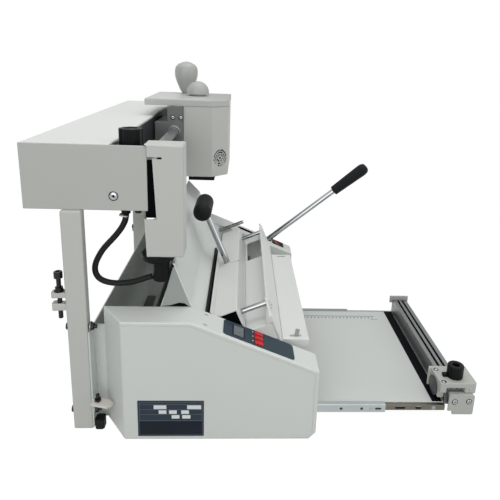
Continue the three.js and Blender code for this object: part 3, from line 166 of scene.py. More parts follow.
class Surface:
    def __init__(self, owner, ending="ShaderNodeOutputMaterial"):
        owner.use_nodes = True
        self.owner = owner
        self.ending = ending
        self.tree = owner.node_tree
        self.tree.nodes.clear()

    def node(self, kind, values=None, output=0, **settings):
        made = self.tree.nodes.new(kind)
        for key, value in settings.items():
            setattr(made, key, value)
        for key, value in (values or {}).items():
            if isinstance(value, Wire):
                self.tree.links.new(value.socket, made.inputs[key])
            else:
                made.inputs[key].default_value = value
        return Wire(self, made.outputs[output])

    def noise(self, scale, detail=2, stretch=(1, 1, 1)):
        local = self.node("ShaderNodeTexCoord", output="Object")
        place = self.node("ShaderNodeMapping", {"Vector": local, "Scale": stretch})
        return self.node("ShaderNodeTexNoise", {"Vector": place, "Scale": scale, "Detail": detail})

    def fade(self, value, low, high):
        ramp = self.node("ShaderNodeValToRGB", {"Fac": value})
        for element, position in zip(ramp.socket.node.color_ramp.elements, (low, high)):
            element.position = position
        return ramp

    def blend(self, share, first, second):
        return self.node("ShaderNodeMix", {0: share, 6: first, 7: second}, 2, data_type="RGBA")

    def bump(self, height, depth, strength):
        return self.node("ShaderNodeBump", {"Height": height, "Distance": depth, "Strength": strength})

    def finish(self, shader):
        output = self.tree.nodes.new(self.ending)
        self.tree.links.new(shader.socket, output.inputs["Surface"])
        return self.owner

    def close(self, values):
        return self.finish(self.node("ShaderNodeBsdfPrincipled", values))


def newSurface(name):
    return Surface(bpy.data.materials.new(name))


# powder coat: a slow drift of tone, a fine orange peel and a little handling in the gloss
def coatFinish(name, tint, spread, roughness=0.42, peel=520, relief=0.00006, flecks=0.12, gloss=0.4):
    coat = newSurface(name)
    base = tone(tint)
    colour = coat.blend(coat.noise(7, 3), shade(base, 1 - spread), shade(base, 1 + spread))
    grain = coat.noise(peel) + coat.noise(peel * 3.1, 1) * 0.3
    dust = coat.fade(coat.noise(2600, 1), 0.62, 0.8) * flecks
    return coat.close({
        "Base Color": coat.blend(dust, colour, shade(base, 0.72)),
        "Roughness": roughness + coat.noise(38, 3) * 0.12,
        "Normal": coat.bump(grain, relief, 0.5),
        "Specular IOR Level": gloss,
    })


# moulded plastic or rubber: fine texture and slightly rubbed high spots
def mouldedFinish(name, tint, rubbed, rub=0.5, grain=1500, relief=0.00002, roughness=0.5, gloss=0.4,
                  patch=30):
    skin = newSurface(name)
    worn = skin.fade(skin.noise(patch, 4), 0.45, 0.75)
    texture = skin.noise(grain)
    return skin.close({
        "Base Color": skin.blend(worn * rub, tone(tint), tone(rubbed)),
        "Roughness": roughness + worn * 0.08 + texture * 0.06,
        "Normal": skin.bump(texture, relief, 0.6),
        "Specular IOR Level": gloss,
    })


# bare metal, with its tool marks running along one axis
def metalFinish(name, tint, second=None, spread=0.15, lines=700, stretch=(1, 1, 1), relief=0.00002,
                roughness=0.3, grind=0.15, streak=0.3, cloud=22):
    metal = newSurface(name)
    marks = metal.noise(lines, 2, stretch)
    patches = metal.noise(cloud, 3)
    mixed = metal.blend(patches, shade(tone(tint), 1 - spread), tone(second or tint))
    return metal.close({
        "Base Color": metal.blend(marks * streak, mixed, shade(tone(tint), 0.62)),
        "Metallic": 1.0,
        "Roughness": roughness + marks * grind + patches * 0.05,
        "Normal": metal.bump(marks, relief, 0.5),
    })


painted = coatFinish("paint_warm_grey", "#d2d7d3", 0.025)
paintedDeep = coatFinish("paint_machine_grey", "#c0c2bd", 0.025)
paintedBeam = coatFinish("paint_beam_grey", "#b6b8b3", 0.03)
# a darker copy of the grey paint, painted shade for faces that lie in shade
shadedPaint = coatFinish("paint_grey_painted_shade", "#9ba09d", 0.04, 0.45)
paintedLid = coatFinish("paint_lid_grey", "#b9bbb7", 0.025, 0.34)
paintedLight = coatFinish("paint_light_grey", "#d8dbd8", 0.02, 0.4)
paintedGrip = coatFinish("paint_handle_grey", "#a8aaa6", 0.03, 0.34, peel=300, relief=0.00003, gloss=0.5)
paintedBlack = coatFinish("paint_black", "#1a1c20", 0.2, 0.5, peel=620, flecks=0.0)
castPaint = coatFinish("paint_cast_grey", "#b4b6b0", 0.04, 0.45, peel=900, relief=0.00012)
bracketPaint = coatFinish("paint_bracket_grey", "#9ea19c", 0.04, 0.45, peel=900, relief=0.00012)
ironPaint = coatFinish("paint_iron_grey", "#6d716f", 0.05, 0.45, peel=700, relief=0.00012)
boardCoat = coatFinish("board_coat", "#c9cecb", 0.012, 0.46, peel=1500, relief=0.00002, flecks=0.05)
blackPlastic = mouldedFinish("black_plastic", "#07090a", "#14171a", relief=0.00005, roughness=0.42,
                             gloss=0.13)
blackRubber = mouldedFinish("black_rubber", "#0d1113", "#23292c", rub=0.4, grain=1100, relief=0.00009,
                            roughness=0.6, gloss=0.18)
blackSteel = mouldedFinish("blackened_steel", "#08090a", "#242628", rub=0.4, grain=700, relief=0.00004,
                           roughness=0.34, gloss=0.35)
hoseRubber = mouldedFinish("hose_rubber", "#111214", "#202225", grain=800, relief=0.00006, gloss=0.22)
matRubber = mouldedFinish("mat_rubber", "#04070a", "#0c1116", rub=0.6, grain=2200, relief=0.00004,
                          roughness=0.7, gloss=0.08, patch=60)
redPlastic = mouldedFinish("red_plastic", "#c01c24", "#c93a3a", 0.3, 1300, roughness=0.34, gloss=0.3)
# a darker copy of the red for the rocker, painted shade
shadedRed = mouldedFinish("red_plastic_painted_shade", "#7c1a20", "#8a2c2e", 0.3, 1300, roughness=0.36, gloss=0.25)
slateFilm = mouldedFinish("slate_film", "#2e3c46", "#35444e", grain=1700, roughness=0.45, gloss=0.2, patch=14)
plateFilm = mouldedFinish("plate_film", "#323c47", "#39434e", rub=0.6, roughness=0.45, gloss=0.12, patch=20)
plateDark = mouldedFinish("plate_dark", "#171e28", "#1d2530", rub=0.6, roughness=0.4, gloss=0.12, patch=20)
printLight = mouldedFinish("light_print", "#dfe3e4", "#cfd4d6", relief=0.00001)
printGrey = mouldedFinish("grey_print", "#5c6469", "#747c80", relief=0.00001, roughness=0.55)
displayGlass = mouldedFinish("display_glass", "#63696e", "#70767b", rub=0.6, grain=900, relief=0.00001,
                             roughness=0.22, patch=24)
whiteNylon = mouldedFinish("white_nylon", "#d9d4cd", "#c4bdb2", grain=600, relief=0.00008)
# a dead black that paints the shade in slits, gaps, grooves, holes and round screw heads
shadeBlack = mouldedFinish("painted_shade_black", "#030304", "#08090a", grain=900, relief=0.00004, roughness=0.75,
                          gloss=0.05)
chrome = metalFinish("chrome", "#a9acae", spread=0.06, lines=60, relief=0.000003, roughness=0.12, grind=0.04,
                     streak=0.08)
groundSteel = metalFinish("ground_steel", "#a9acae", spread=0.12, lines=900, stretch=(1, 0.05, 1),
                          roughness=0.22, grind=0.12)
turnedSteel = metalFinish("turned_steel", "#9fa2a3", roughness=0.28)
zincPlate = metalFinish("zinc_plate", "#bfc7ca", "#a5aaa6", spread=0.1, lines=500, stretch=(0.04, 1, 1),
                        roughness=0.26, grind=0.14, streak=0.25, cloud=34)
zincDull = metalFinish("zinc_dull", "#7f7c73", "#6a675e", lines=500, stretch=(0.04, 1, 1), roughness=0.34,
                       grind=0.14, cloud=34)
bladeSteel = metalFinish("blade_steel", "#5f6264", spread=0.2)
anodised = metalFinish("anodised_aluminium", "#929796", spread=0.1, lines=420, stretch=(1, 0.01, 1),
                       roughness=0.34, grind=0.14, streak=0.6)
print("materials made")


# mesh tools

sharpAngle = math.radians(33)


def bevelEdges(bm, edges, width, steps):
    if edges:
        bmesh.ops.bevel(
            bm, geom=edges, offset=width * millimetre, offset_type="OFFSET", segments=steps, profile=0.5,
            affect="EDGES", clamp_overlap=False, miter_outer="SHARP",
        )


def addPrism(bm, outline, low, high, where=upright):
    bottom = [bm.verts.new(where @ Vector((a, b, low))) for a, b in outline]
    top = [bm.verts.new(where @ Vector((a, b, high))) for a, b in outline]
    made = [bm.faces.new(bottom[::-1]), bm.faces.new(top)]
    for index in range(-1, len(outline) - 1):
        made.append(bm.faces.new((bottom[index], bottom[index + 1], top[index + 1], top[index])))
    return made


# a prism with the rims of its ends broken; end 0 is the low one and end 1 the high one
def addBlock(bm, outline, low, high, where=upright, edge=0.3, steps=2, ends=(1, 0)):
    faces = addPrism(bm, outline, low, high, where)
    if edge:
        bevelEdges(bm, [rim for end in ends for rim in faces[end].edges], edge, steps)


def rectangle(a0, a1, b0, b1):
    return [(a0, b0), (a1, b0), (a1, b1), (a0, b1)]


def roundCorners(points, radius, steps=6):
    result = []
    reaches = radius if isinstance(radius, (list, tuple)) else [radius] * len(points)
    for before, point, after, reach in zip(points[-1:] + points, points, points[1:] + points, reaches):
        here = Vector(point)
        back, ahead = ((Vector(other) - here).normalized() for other in (before, after))
        half = back.angle(ahead) / 2
        centre = here + (back + ahead).normalized() * (reach / math.sin(half))
        first, last = (here + side * (reach / math.tan(half)) - centre for side in (back, ahead))
        sweep = math.atan2(first.x * last.y - first.y * last.x, first.dot(last))
        for step in range(steps + 1):
            result.append(tuple(centre + Matrix.Rotation(sweep * step / steps, 2) @ first))
    return result


# a flat patch with round corners, its upper rim broken
def addPatch(bm, box, low, high, where, corner=0.4, edge=0):
    outline = roundCorners(rectangle(*box), corner, 4) if corner else rectangle(*box)
    addBlock(bm, outline, low, high, where, edge, ends=(1,))


# a smooth line through points, in a number of steps from each to the next
def smoothLine(points, steps):
    line = [Vector(point) for point in points]
    line = [line[0] * 2 - line[1]] + line + [line[-1] * 2 - line[-2]]
    result = []
    for before, start, end, after in zip(line, line[1:], line[2:], line[3:]):
        for step in range(steps):
            t = step / steps
            result.append(0.5 * (
                2 * start + (end - before) * t + (2 * before - 5 * start + 4 * end - after) * t * t
                + (3 * start - before - 3 * end + after) * t * t * t
            ))
    return result + [line[-2]]


# radius shares by angle, for hexagons, cross slots and lobed knobs
def hexShare(angle):
    return math.cos(math.pi / 6) / math.cos(angle % (math.pi / 3) - math.pi / 6)


def crossShare(angle):
    return 1.0 if abs((angle + math.pi / 4) % (math.pi / 2) - math.pi / 4) < 0.24 else 0.4


def lobeShare(count, depth):
    return lambda angle: 1 - depth * (0.5 - 0.5 * math.cos(count * angle))


# a turned solid on the local z axis; a profile entry may carry its own share by angle
def addTurned(bm, where, profile, sides=64, closed=False):
    rings = []
    for radius, height, *shares in profile:
        ring = []
        # a radius of 0 closes the end with one point
        for step in range(sides if radius else 1):
            angle = math.tau * step / sides
            reach = radius * (shares[0](angle) if shares and shares[0] else 1)
            corner = Vector((reach * math.cos(angle), reach * math.sin(angle), height))
            ring.append(bm.verts.new(where @ corner))
        rings.append(ring)
    for low, high in zip(rings, rings[1:] + rings[:1] if closed else rings[1:]):
        for step in range(sides):
            ahead = (step + 1) % sides
            corners = (low[step % len(low)], low[ahead % len(low)],
                       high[ahead % len(high)], high[step % len(high)])
            bm.faces.new(list(dict.fromkeys(corners)))


# angles of a quarter turn
def quarter(steps, first=0):
    return [math.pi / 2 * step / steps for step in range(first, steps + 1)]


def addRod(bm, where, radius, low, high, edge=0.6, sides=40, steps=3):
    end = [(radius - edge * (1 - math.sin(angle)), edge * (1 - math.cos(angle))) for angle in quarter(steps)]
    profile = [(wide, low + rise) for wide, rise in end]
    profile += [(wide, high - rise) for wide, rise in reversed(end)]
    addTurned(bm, where, [(0, low), *profile, (0, high)], sides)


def addRing(bm, where, inner, outer, high, edge=0.3, sides=48):
    addTurned(bm, where, [
        (inner, edge), (inner + edge, 0), (outer - edge, 0), (outer, edge),
        (outer, high - edge), (outer - edge, high), (inner + edge, high), (inner, high - edge),
    ], sides, True)


def addSocketHead(bm, where, radius, high, socket):
    addTurned(bm, where, [
        (0, 0), (radius - 0.3, 0), (radius, 0.3), (radius, high - 0.7), (radius - 0.7, high),
        (socket * 1.1, high), (socket, high - 0.2, hexShare), (socket, high * 0.45, hexShare),
        (0, high * 0.4),
    ], 48)


def addDomeHead(bm, where, radius, high, socket, share=hexShare):
    profile = [(0, -0.2), (radius, -0.2), (radius, high * 0.25)]
    for angle in quarter(6, 1)[:-1]:
        if radius * math.cos(angle) > socket * 1.25:
            profile.append((radius * math.cos(angle), high * (0.25 + 0.75 * math.sin(angle))))
    top = profile[-1][1]
    profile += [(socket * 1.2, top + 0.1), (socket, top - 0.2, share), (socket, top - high * 0.5, share)]
    addTurned(bm, where, profile + [(0, top - high * 0.55)], 60)


def addHexNut(bm, where, across, high, bore):
    addTurned(bm, where, [
        (bore, 0), (across * 0.93, 0), (across, 0.5, hexShare), (across, high - 0.5, hexShare),
        (across * 0.93, high), (bore, high),
    ], 60, True)


def isSharp(edge):
    return edge.is_manifold and edge.is_convex and edge.calc_face_angle(0) > sharpAngle


# how far a face reaches from one edge; a bent strip counts by its own width
def faceDepth(edge, face):
    start = edge.verts[0].co
    along = (edge.verts[1].co - start).normalized()
    reach = max(((v.co - start) - along * (v.co - start).dot(along)).length for v in face.verts)
    return min(reach, 3 * face.calc_area() / face.calc_perimeter()) / millimetre


# rounds the folds of bent sheet, which are the sharp edges between two broad faces, and then breaks its rims
def softenSheet(bm, fold, rim, thin=3.4):
    for width, steps, least in ((fold, 4, thin), (rim, 2, rim * 2.6)):
        bm.normal_update()
        edges = []
        for edge in bm.edges:
            if isSharp(edge) and min(faceDepth(edge, face) for face in edge.link_faces) > least:
                edges.append(edge)
        bevelEdges(bm, edges, width, steps)


# sheet shells can come out of the normal tool inside out
def faceOutward(bm):
    bmesh.ops.recalc_face_normals(bm, faces=bm.faces)
    if bm.calc_volume(signed=True) < 0:
        bmesh.ops.reverse_faces(bm, faces=bm.faces)


# pulls mitre tips of the bevels back to the node's own box
def keepInside(bm, low, high):
    for vert in bm.verts:
        for axis in range(3):
            vert.co[axis] = min(max(vert.co[axis], low[axis]), high[axis])


def cadMesh(node):
    bm = bmesh.new()
    bm.from_mesh(nodes[node].data)
    bmesh.ops.remove_doubles(bm, verts=bm.verts, dist=0.00002)
    bmesh.ops.dissolve_limit(bm, angle_limit=math.radians(0.8), verts=bm.verts, edges=bm.edges, delimit=set())
    return bm


def meshFrom(name, bm):
    mesh = bpy.data.meshes.new(name)
    bm.to_mesh(mesh)
    bm.free()
    return mesh


# a part is one of the add functions followed by what it needs
def gather(parts):
    bm = bmesh.new()
    for add, *details in parts:
        add(bm, *details)
    return bm


# the same part at several places
def each(places, add, *details):
    return [(add, where, *details) for where in places]


# a piece rides with its node's body, and may stand for the node
def settle(piece, node, stands=True):
    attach(piece, bodyOf[node])
    if stands:
        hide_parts(node)


def closePiece(name, bm, finish, node, stands=True, smooth=33):
    faceOutward(bm)
    for face in bm.faces:
        face.smooth = True
    for edge in bm.edges:
        edge.smooth = edge.is_manifold and edge.calc_face_angle(0) < math.radians(smooth)
    mesh = meshFrom(name, bm)
    mesh.materials.append(finish)
    piece = linked(name, mesh)
    piece.modifiers.new("weighted", "WEIGHTED_NORMAL").keep_sharp = True
    settle(piece, node, stands)


# takes closed parts out of a mesh
def carve(bm, parts):
    faceOutward(bm)
    cutter = gather(parts)
    bmesh.ops.recalc_face_normals(cutter, faces=cutter.faces)
    piece, knife = (linked("cut", meshFrom("cut", source)) for source in (bm, cutter))
    cut = piece.modifiers.new("cut", "BOOLEAN")
    cut.operation = "DIFFERENCE"
    cut.solver = "EXACT"
    cut.object = knife
    bpy.context.view_layer.update()
    result = bmesh.new()
    result.from_mesh(piece.evaluated_get(bpy.context.evaluated_depsgraph_get()).to_mesh())
    for data in (piece.data, knife.data):
        bpy.data.meshes.remove(data)
    bmesh.ops.remove_doubles(result, verts=result.verts, dist=0.000005)
    return result


# the node's own mesh with its folds and rims rounded
def dressed(node, finish, fold=1.2, rim=0.35, thin=3.4, cuts=()):
    bm = cadMesh(node)
    low, high = ([pick(vert.co[axis] for vert in bm.verts) for axis in range(3)] for pick in (min, max))
    softenSheet(bm, fold, rim, thin)
    keepInside(bm, low, high)
    if cuts:
        bm = carve(bm, cuts)
    closePiece(node + "_dressed", bm, finish, node)


# a new mesh that stands for the node
def standIn(name, node, finish, *parts, smooth=33):
    closePiece(name, gather(parts), finish, node, smooth=smooth)


# a small piece fastened to the node
def fitting(name, finish, node, *parts):
    closePiece(name, gather(parts), finish, node, stands=False)


def screws(name, finish, node, places, *details):
    fitting(name, finish, node, *each(places, addDomeHead, *details))


# hose between the beam and the head's cable boss, with both ends on the machine

hose = {
    "radius": 4, "y": 50, "samples": 6,
    "route": [
        (123.3, 309.2), (121.6, 300.5), (117.2, 291.3), (111.1, 282.6), (104.0, 274.1), (96.8, 266.2),
        (90.4, 258.2), (85.2, 249.6), (81.1, 240.9), (79.2, 232.1), (80.1, 224.6), (83.8, 218.2),
        (90.0, 213.9), (98.2, 211.5), (108.2, 210.6), (119.0, 211.4), (129.8, 213.3), (140.0, 216.5),
        (148.8, 219.6), (155.0, 221.8),
    ],
}


def buildHose():
    route = [(x, hose["y"], z) for x, z in hose["route"]]
    points = [upright @ point for point in smoothLine(route, hose["samples"])]
    length = sum((end - start).length for start, end in zip(points, points[1:]))
    curve = bpy.data.curves.new("head_hose", "CURVE")
    curve.dimensions = "3D"
    curve.bevel_depth = hose["radius"] * millimetre
    curve.bevel_resolution = 7
    curve.use_fill_caps = True
    line = curve.splines.new("POLY")
    line.points.add(len(points) - 1)
    for target, point in zip(line.points, points):
        target.co = (*point, 1)
    line.use_smooth = True
    curve.materials.append(hoseRubber)
    piece = linked("head_hose", curve)
    settle(piece, "head_cable")
    tuple(points[0])
    print("hose", round(length, 4), "m")


buildHose()


# side housings

housing = {
    "fold": 2.0, "rim": 0.4, "plate": (140, 230, 5.5, 62.5), "plateDeep": 0.5,
    "seam": {"x": 379.6, "wide": 0.6, "deep": 0.7, "low": 10.5, "high": 104},
    "slits": {"s": 19.4, "y": (10.2, 37.3), "long": 5.8, "wide": 2.2},
    "joint": {"drop": 4.6, "wide": 0.6, "deep": 0.6, "back": 122, "corner": 212, "front": 378, "drift": 0.2},
}


def slotOutline(a, b, long, wide):
    return roundCorners(rectangle(a - long / 2, a + long / 2, b - wide / 2, b + wide / 2), wide * 0.49)


def addHousingCuts(bm, mirrored):
    def y(value):
        return machine["width"] - value if mirrored else value

    seam, joint, slits = housing["seam"], housing["joint"], housing["slits"]
    low, high = sorted((y(-1), y(seam["deep"])))
    addPrism(bm, rectangle(seam["x"], seam["x"] + seam["wide"], low, high), seam["low"], seam["high"])
    # fine joint just under the top and slope edges
    lines = []
    for drop in (joint["drop"], joint["drop"] + joint["wide"]):
        z = slope["z"] - drop
        corner = joint["corner"] - drop * joint["drift"]
        end = z - (joint["front"] - corner) * slope["fall"] / slope["run"]
        lines.append([(joint["back"], z), (corner, z), (joint["front"], end)])
    low, high = sorted((y(-1), y(joint["deep"])))
    addPrism(bm, lines[0] + lines[1][::-1], low, high, farFace)
    for middle in slits["y"]:
        addPrism(bm, slotOutline(slits["s"], y(middle), slits["long"], slits["wide"]), -1.0, 3, slopePlace)


def buildHousings():
    h, slits = housing, housing["slits"]
    plate = (addPrism, roundCorners(rectangle(*h["plate"]), 1), -1, h["plateDeep"], farFace)
    dressed("near_housing", painted, h["fold"], h["rim"], cuts=[(addHousingCuts, False), plate])
    dressed("far_housing", painted, h["fold"], h["rim"], cuts=[(addHousingCuts, True)])
    # black sheets just behind the slope's slits paint the shade inside them
    for side, mirror in (("near", 0), ("far", machine["width"])):
        slitShades = []
        for middle in slits["y"]:
            outline = slotOutline(slits["s"], abs(mirror - middle), slits["long"] - 0.2, slits["wide"] - 0.2)
            slitShades.append((addPrism, outline, -1.2, -0.7, slopePlace))
        fitting(side + "_slit_painted_shade", shadeBlack, side + "_housing", *slitShades)


# black lips round the slot that the clamp lever comes through and black boards down its sides, which paint
# the shade
# inside the slot: how far each layer lies outside and inside the slot's side, how far it runs past the slot's
# ends, and which end is broken
leverSlot = {
    "s": (61, 140), "y": (455.2, 469.8),
    "layers": (
        {"outside": 1.2, "inside": 1, "past": -3, "low": -4.5, "high": -2.2, "edge": 0.4, "end": 1},
        {"outside": 0.1, "inside": 1, "past": -3, "low": -2.4, "high": -0.25, "edge": 0.3, "end": 1},
        {"outside": 3.6, "inside": -2.4, "past": 6, "low": -36, "high": -2.6, "edge": 0.3, "end": 0},
    ),
}


def buildLeverSlot():
    (s0, s1), (y0, y1) = leverSlot["s"], leverSlot["y"]
    parts = []
    for l in leverSlot["layers"]:
        for low, high in ((y0 - l["outside"], y0 + l["inside"]), (y1 - l["inside"], y1 + l["outside"])):
            outline = rectangle(s0 - l["past"], s1 + l["past"], low, high)
            parts.append((addBlock, outline, l["low"], l["high"], slopePlace, l["edge"], 2, (l["end"],)))
    fitting("lever_slot_painted_shade", shadeBlack, "far_housing", *parts)


# rating plate, left bare: blank pale fields on slate, a darker band below
ratingPlate = {
    "box": (140.3, 229.7, 5.8, 62.2), "band": 29.5, "frame": 2.4, "line": 0.5, "rows": (40.3, 48, 56.5),
    "fields": [
        (162, 179, 49, 55), (207, 226, 49, 55), (168.5, 179, 41.5, 47), (182.5, 193, 41.5, 47),
        (199, 209.5, 41.5, 47), (186, 196.5, 34, 39.5), (200.3, 211.4, 34, 39.5),
    ],
}


def buildRatingPlate():
    p = ratingPlate
    x0, x1, z0, z1 = p["box"]
    left, right, low, high = x0 + p["frame"], x1 - p["frame"], z0 + p["frame"], z1 - p["frame"]
    half = p["line"] / 2
    rows = [low, p["band"] + 1.2, *p["rows"], high]

    across = [(left, right, z - half, z + half) for z in rows]
    upward = [(x - half, x + half, low, high) for x in (left, right)]
    for name, finish, *films in (
        ("", plateFilm, ([p["box"]], -0.5, -0.16, 1, 0.1)),
        ("_band", plateDark, ([(left, right, low, p["band"])], -0.3, -0.1)),
        ("_fields", printLight, (p["fields"], -0.3, -0.08, 0.3)),
        ("_lines", printGrey, (across, -0.3, -0.12, 0), (upward, -0.3, -0.11, 0)),
    ):
        parts = [part for boxes, base, face, *more in films
                 for part in each(boxes, addPatch, base, face, nearFace, *more)]
        fitting("rating_plate" + name, finish, "near_housing", *parts)


buildHousings()
buildLeverSlot()
buildRatingPlate()
print("housings built")


# base, rear panel and legs

innerFloor = {"box": (75.3, 94, 48.8, 431.6), "low": 2.3, "high": 3.8}


def buildBase():
    dressed("base_tray", painted, 0.6)
    dressed("rear_panel", painted, 0.35)
    f = innerFloor
    fitting("inner_floor", ironPaint, "rear_panel", (addBlock, rectangle(*f["box"]), f["low"], f["high"]))
    for node in ("near_leg", "far_leg"):
        dressed(node, paintedDeep, 2.4, thin=4)


# bolts through the legs, with their heads behind and nuts in front
legBolts = {
    "head": 5, "headHigh": 3.2, "socket": 2.4, "nut": 5.2, "nutHigh": 3.6, "shank": 3, "long": 8.5,
    "washer": 6.8, "washerHigh": 1.1, "back": 46.4, "panel": 75, "heights": (27, 156),
    "near": 30.7, "far": 449.8, "farExtra": ((149, 46.4, backX), (91, 46.4, backX), (107, 73.6, alongX)),
}


def buildLegBolts():
    b = legBolts
    for side in ("near", "far"):
        y = b[side]
        dark, light = [], []
        for z in b["heights"]:
            front = spot(b["panel"], y, z) @ alongX
            nut = spot(b["panel"] + b["washerHigh"], y, z) @ alongX
            dark.append((addSocketHead, spot(b["back"], y, z) @ backX, b["head"], b["headHigh"], b["socket"]))
            dark.append((addHexNut, nut, b["nut"], b["nutHigh"], b["shank"] - 0.2))
            dark.append((addRod, front, b["shank"], 0, b["long"], 0.6, 32))
            light.append((addRing, front, b["shank"], b["washer"], b["washerHigh"]))
        if side == "far":
            dark += [(addSocketHead, spot(x, y, z) @ face, 3.6, 2.6, 1.6) for z, x, face in b["farExtra"]]
        fitting(side + "_leg_bolts", blackSteel, side + "_leg", *dark)
        fitting(side + "_leg_washers", zincPlate, side + "_leg", *light)


# levelling bolt through both lugs behind the near leg
leveller = {
    "x": 36.9, "y": 30.7, "shank": 3, "low": 168, "head": 5.6, "headLow": 226, "headHigh": 9, "socket": 2.6,
    "washerZ": 207, "washer": 6.6, "washerHigh": 1.6, "nut": 5.4, "nutHigh": 4.4,
}


def buildLeveller():
    l = leveller
    heights = (l["low"], l["headLow"], l["washerZ"], l["washerZ"] + l["washerHigh"])
    low, head, washer, nut = (spot(l["x"], l["y"], z) for z in heights)
    fitting(
        "levelling_bolt", blackSteel, "near_leg",
        (addRod, low, l["shank"], 0, l["headLow"] - l["low"], 1.2),
        (addSocketHead, head, l["head"], l["headHigh"], l["socket"]),
        (addRing, washer, l["shank"] + 0.1, l["washer"], l["washerHigh"]),
        (addHexNut, nut, l["nut"], l["nutHigh"], l["shank"] - 0.1),
    )


# rubber foot and nylon wing behind the housing's chamfered corner
rearFoot = {"box": (76, 88.6, 20.5, 35), "high": 15}
wing = {"x": 75.2, "y": 17, "z": 47, "reach": 30, "half": 8, "thick": 3.4, "tilt": 12, "bolt": 8}


def buildRearFoot():
    foot = roundCorners(rectangle(*rearFoot["box"]), 2.5)
    fitting("rear_foot", blackRubber, "rear_panel", (addBlock, foot, 0, rearFoot["high"], upright, 1.0, 3))
    w = wing
    half, reach = w["half"], w["reach"]
    points = [(0, -half), (reach - half, -half), (reach, 0), (reach - half, half), (0, half)]
    outline = roundCorners(points, [1, half * 0.5, half * 0.4, half * 0.5, 1])
    where = spot(w["x"], w["y"], w["z"]) @ turnY(math.radians(w["tilt"]))
    fitting("rear_wing", whiteNylon, "rear_panel", (addBlock, outline, 0, w["thick"], where, 0.9, 3))
    x = w["x"] + w["bolt"]
    fitting("rear_wing_bolt", blackSteel, "rear_panel",
            (addRod, spot(x, w["y"], w["z"] + 1), 2.6, 0, 12, 0.8),
            (addHexNut, spot(x, w["y"], w["z"] + w["thick"]), 4.6, 3, 2.5))


buildBase()
buildLegBolts()
buildLeveller()
buildRearFoot()
print("base and legs built")


# beam with its cover, plates and open channel

beam = {"near": 31.2, "far": 638, "plateY": 29.2, "low": 320, "rodX": 148, "rodZ": 377, "rodRadius": 8}
beamScrew = {"x": 113, "z": 339, "radius": 5.2, "high": 1.56, "socket": 1.9}


def buildBeam():
    dressed("beam_cover", paintedLight, 1.6)
    dressed("beam_near_plate", paintedBeam, 1.0, 0.8, 1.5)
    dressed("beam_far_plate", paintedDeep, 1.0, 0.8, 1.5)
    dressed("beam_channel", paintedBlack, 1.0)
    b = beam
    where = spot(b["rodX"], b["near"], b["rodZ"]) @ alongY
    standIn("guide_rod_turned", "guide_rod", groundSteel,
            (addRod, where, b["rodRadius"], 0, b["far"] - b["near"], 0.8, 72))
    s = beamScrew
    radius, shadePit = s["radius"], s["socket"] * 0.9
    where = spot(s["x"], b["plateY"], s["z"]) @ backY
    fitting("beam_screw", chrome, "beam_near_plate", (addDomeHead, where, radius, s["high"], s["socket"]))
    # a black ring round the screw head and a black disc in its socket paint the shade at its rim and in the
    # socket
    fitting("beam_screw_painted_shade", shadeBlack, "beam_near_plate",
            (addRing, where, radius - 0.4, radius + 0.9, 0.35, 0.15, 56),
            (addTurned, where, [(0, 0.5), (shadePit, 0.5), (shadePit, 0.8), (0, 0.8)], 32))


beamKnob = {
    "x": 131, "y": 60, "low": 399.3, "high": 22, "radius": 16, "lobes": 10, "lobe": 0.09, "corner": 1.6,
    "dish": 0.55, "dishDeep": 1.2, "stem": (4, -9, 0.4),
}


# lobed knob with a dished top, on its stem
def buildKnob(name, node, k):
    radius, high, corner = k["radius"], k["high"], k["corner"]
    share = lobeShare(k["lobes"], k["lobe"])
    profile = [(0, 0), (radius * 0.9, 0, share), (radius, 0.8, share)]
    for angle in quarter(4):
        height = high - corner + corner * math.sin(angle)
        profile.append((radius - corner + corner * math.cos(angle), height, share))
    dish, floor = radius * k["dish"], high - k["dishDeep"]
    profile += [(dish + 0.6, high), (dish, high - 0.5), (dish * 0.92, floor), (0, floor)]
    where = spot(k["x"], k["y"], k["low"])
    standIn(name, node, blackPlastic, (addTurned, where, profile, 160), (addRod, where, *k["stem"]))


# folded guard in front of the beam's near end, with a black sheet in the gap beside the beam that paints the
# shade seen there
guardGapShade = {"box": (152.4, 172, 30.2, 31.4), "low": 311, "high": 386.5}


def buildGuard():
    dressed("end_guard", paintedDeep, 2.6, 0.3)
    g = guardGapShade
    # painted shade in the gap beside the beam
    fitting("guard_gap_painted_shade", shadeBlack, "end_guard", (addBlock, rectangle(*g["box"]), g["low"], g["high"]))


boss = {
    "x": 164.4, "y": 50, "low": 245, "high": 12.7, "dish": 22.4,
    "neckX": 167.7, "neck": 11.1, "neckLow": 217.5,
}


def buildBoss():
    b = boss
    dish, high = b["dish"], b["high"]
    profile = [(0, 0), (dish * 0.6, 0), (dish * 0.8, high * 0.12), (dish * 0.95, high * 0.28),
               (dish, high * 0.42), (dish, high - 0.8), (dish - 0.8, high), (0, high)]
    neck = spot(b["neckX"], b["y"], b["neckLow"])
    standIn("cable_boss_turned", "cable_boss", blackPlastic,
            (addTurned, spot(b["x"], b["y"], b["low"]), profile, 72),
            (addRod, neck, b["neck"], 0, b["low"] - b["neckLow"] + 0.6, 1.2, 64), smooth=50)


gland = {
    "x": 123.3, "y": 50, "low": 310, "hex": 8, "collar": 6, "washer": (4.6, 9.2, 1.4), "sunk": 0.05,
    "flap": {"x": 120.3, "z": 307.8, "half": 5.6, "thick": 1.5, "tilt": 9},
    "bolt": {"x": 139.3, "z": 311.7, "radius": 4.6, "socket": 1.6},
}


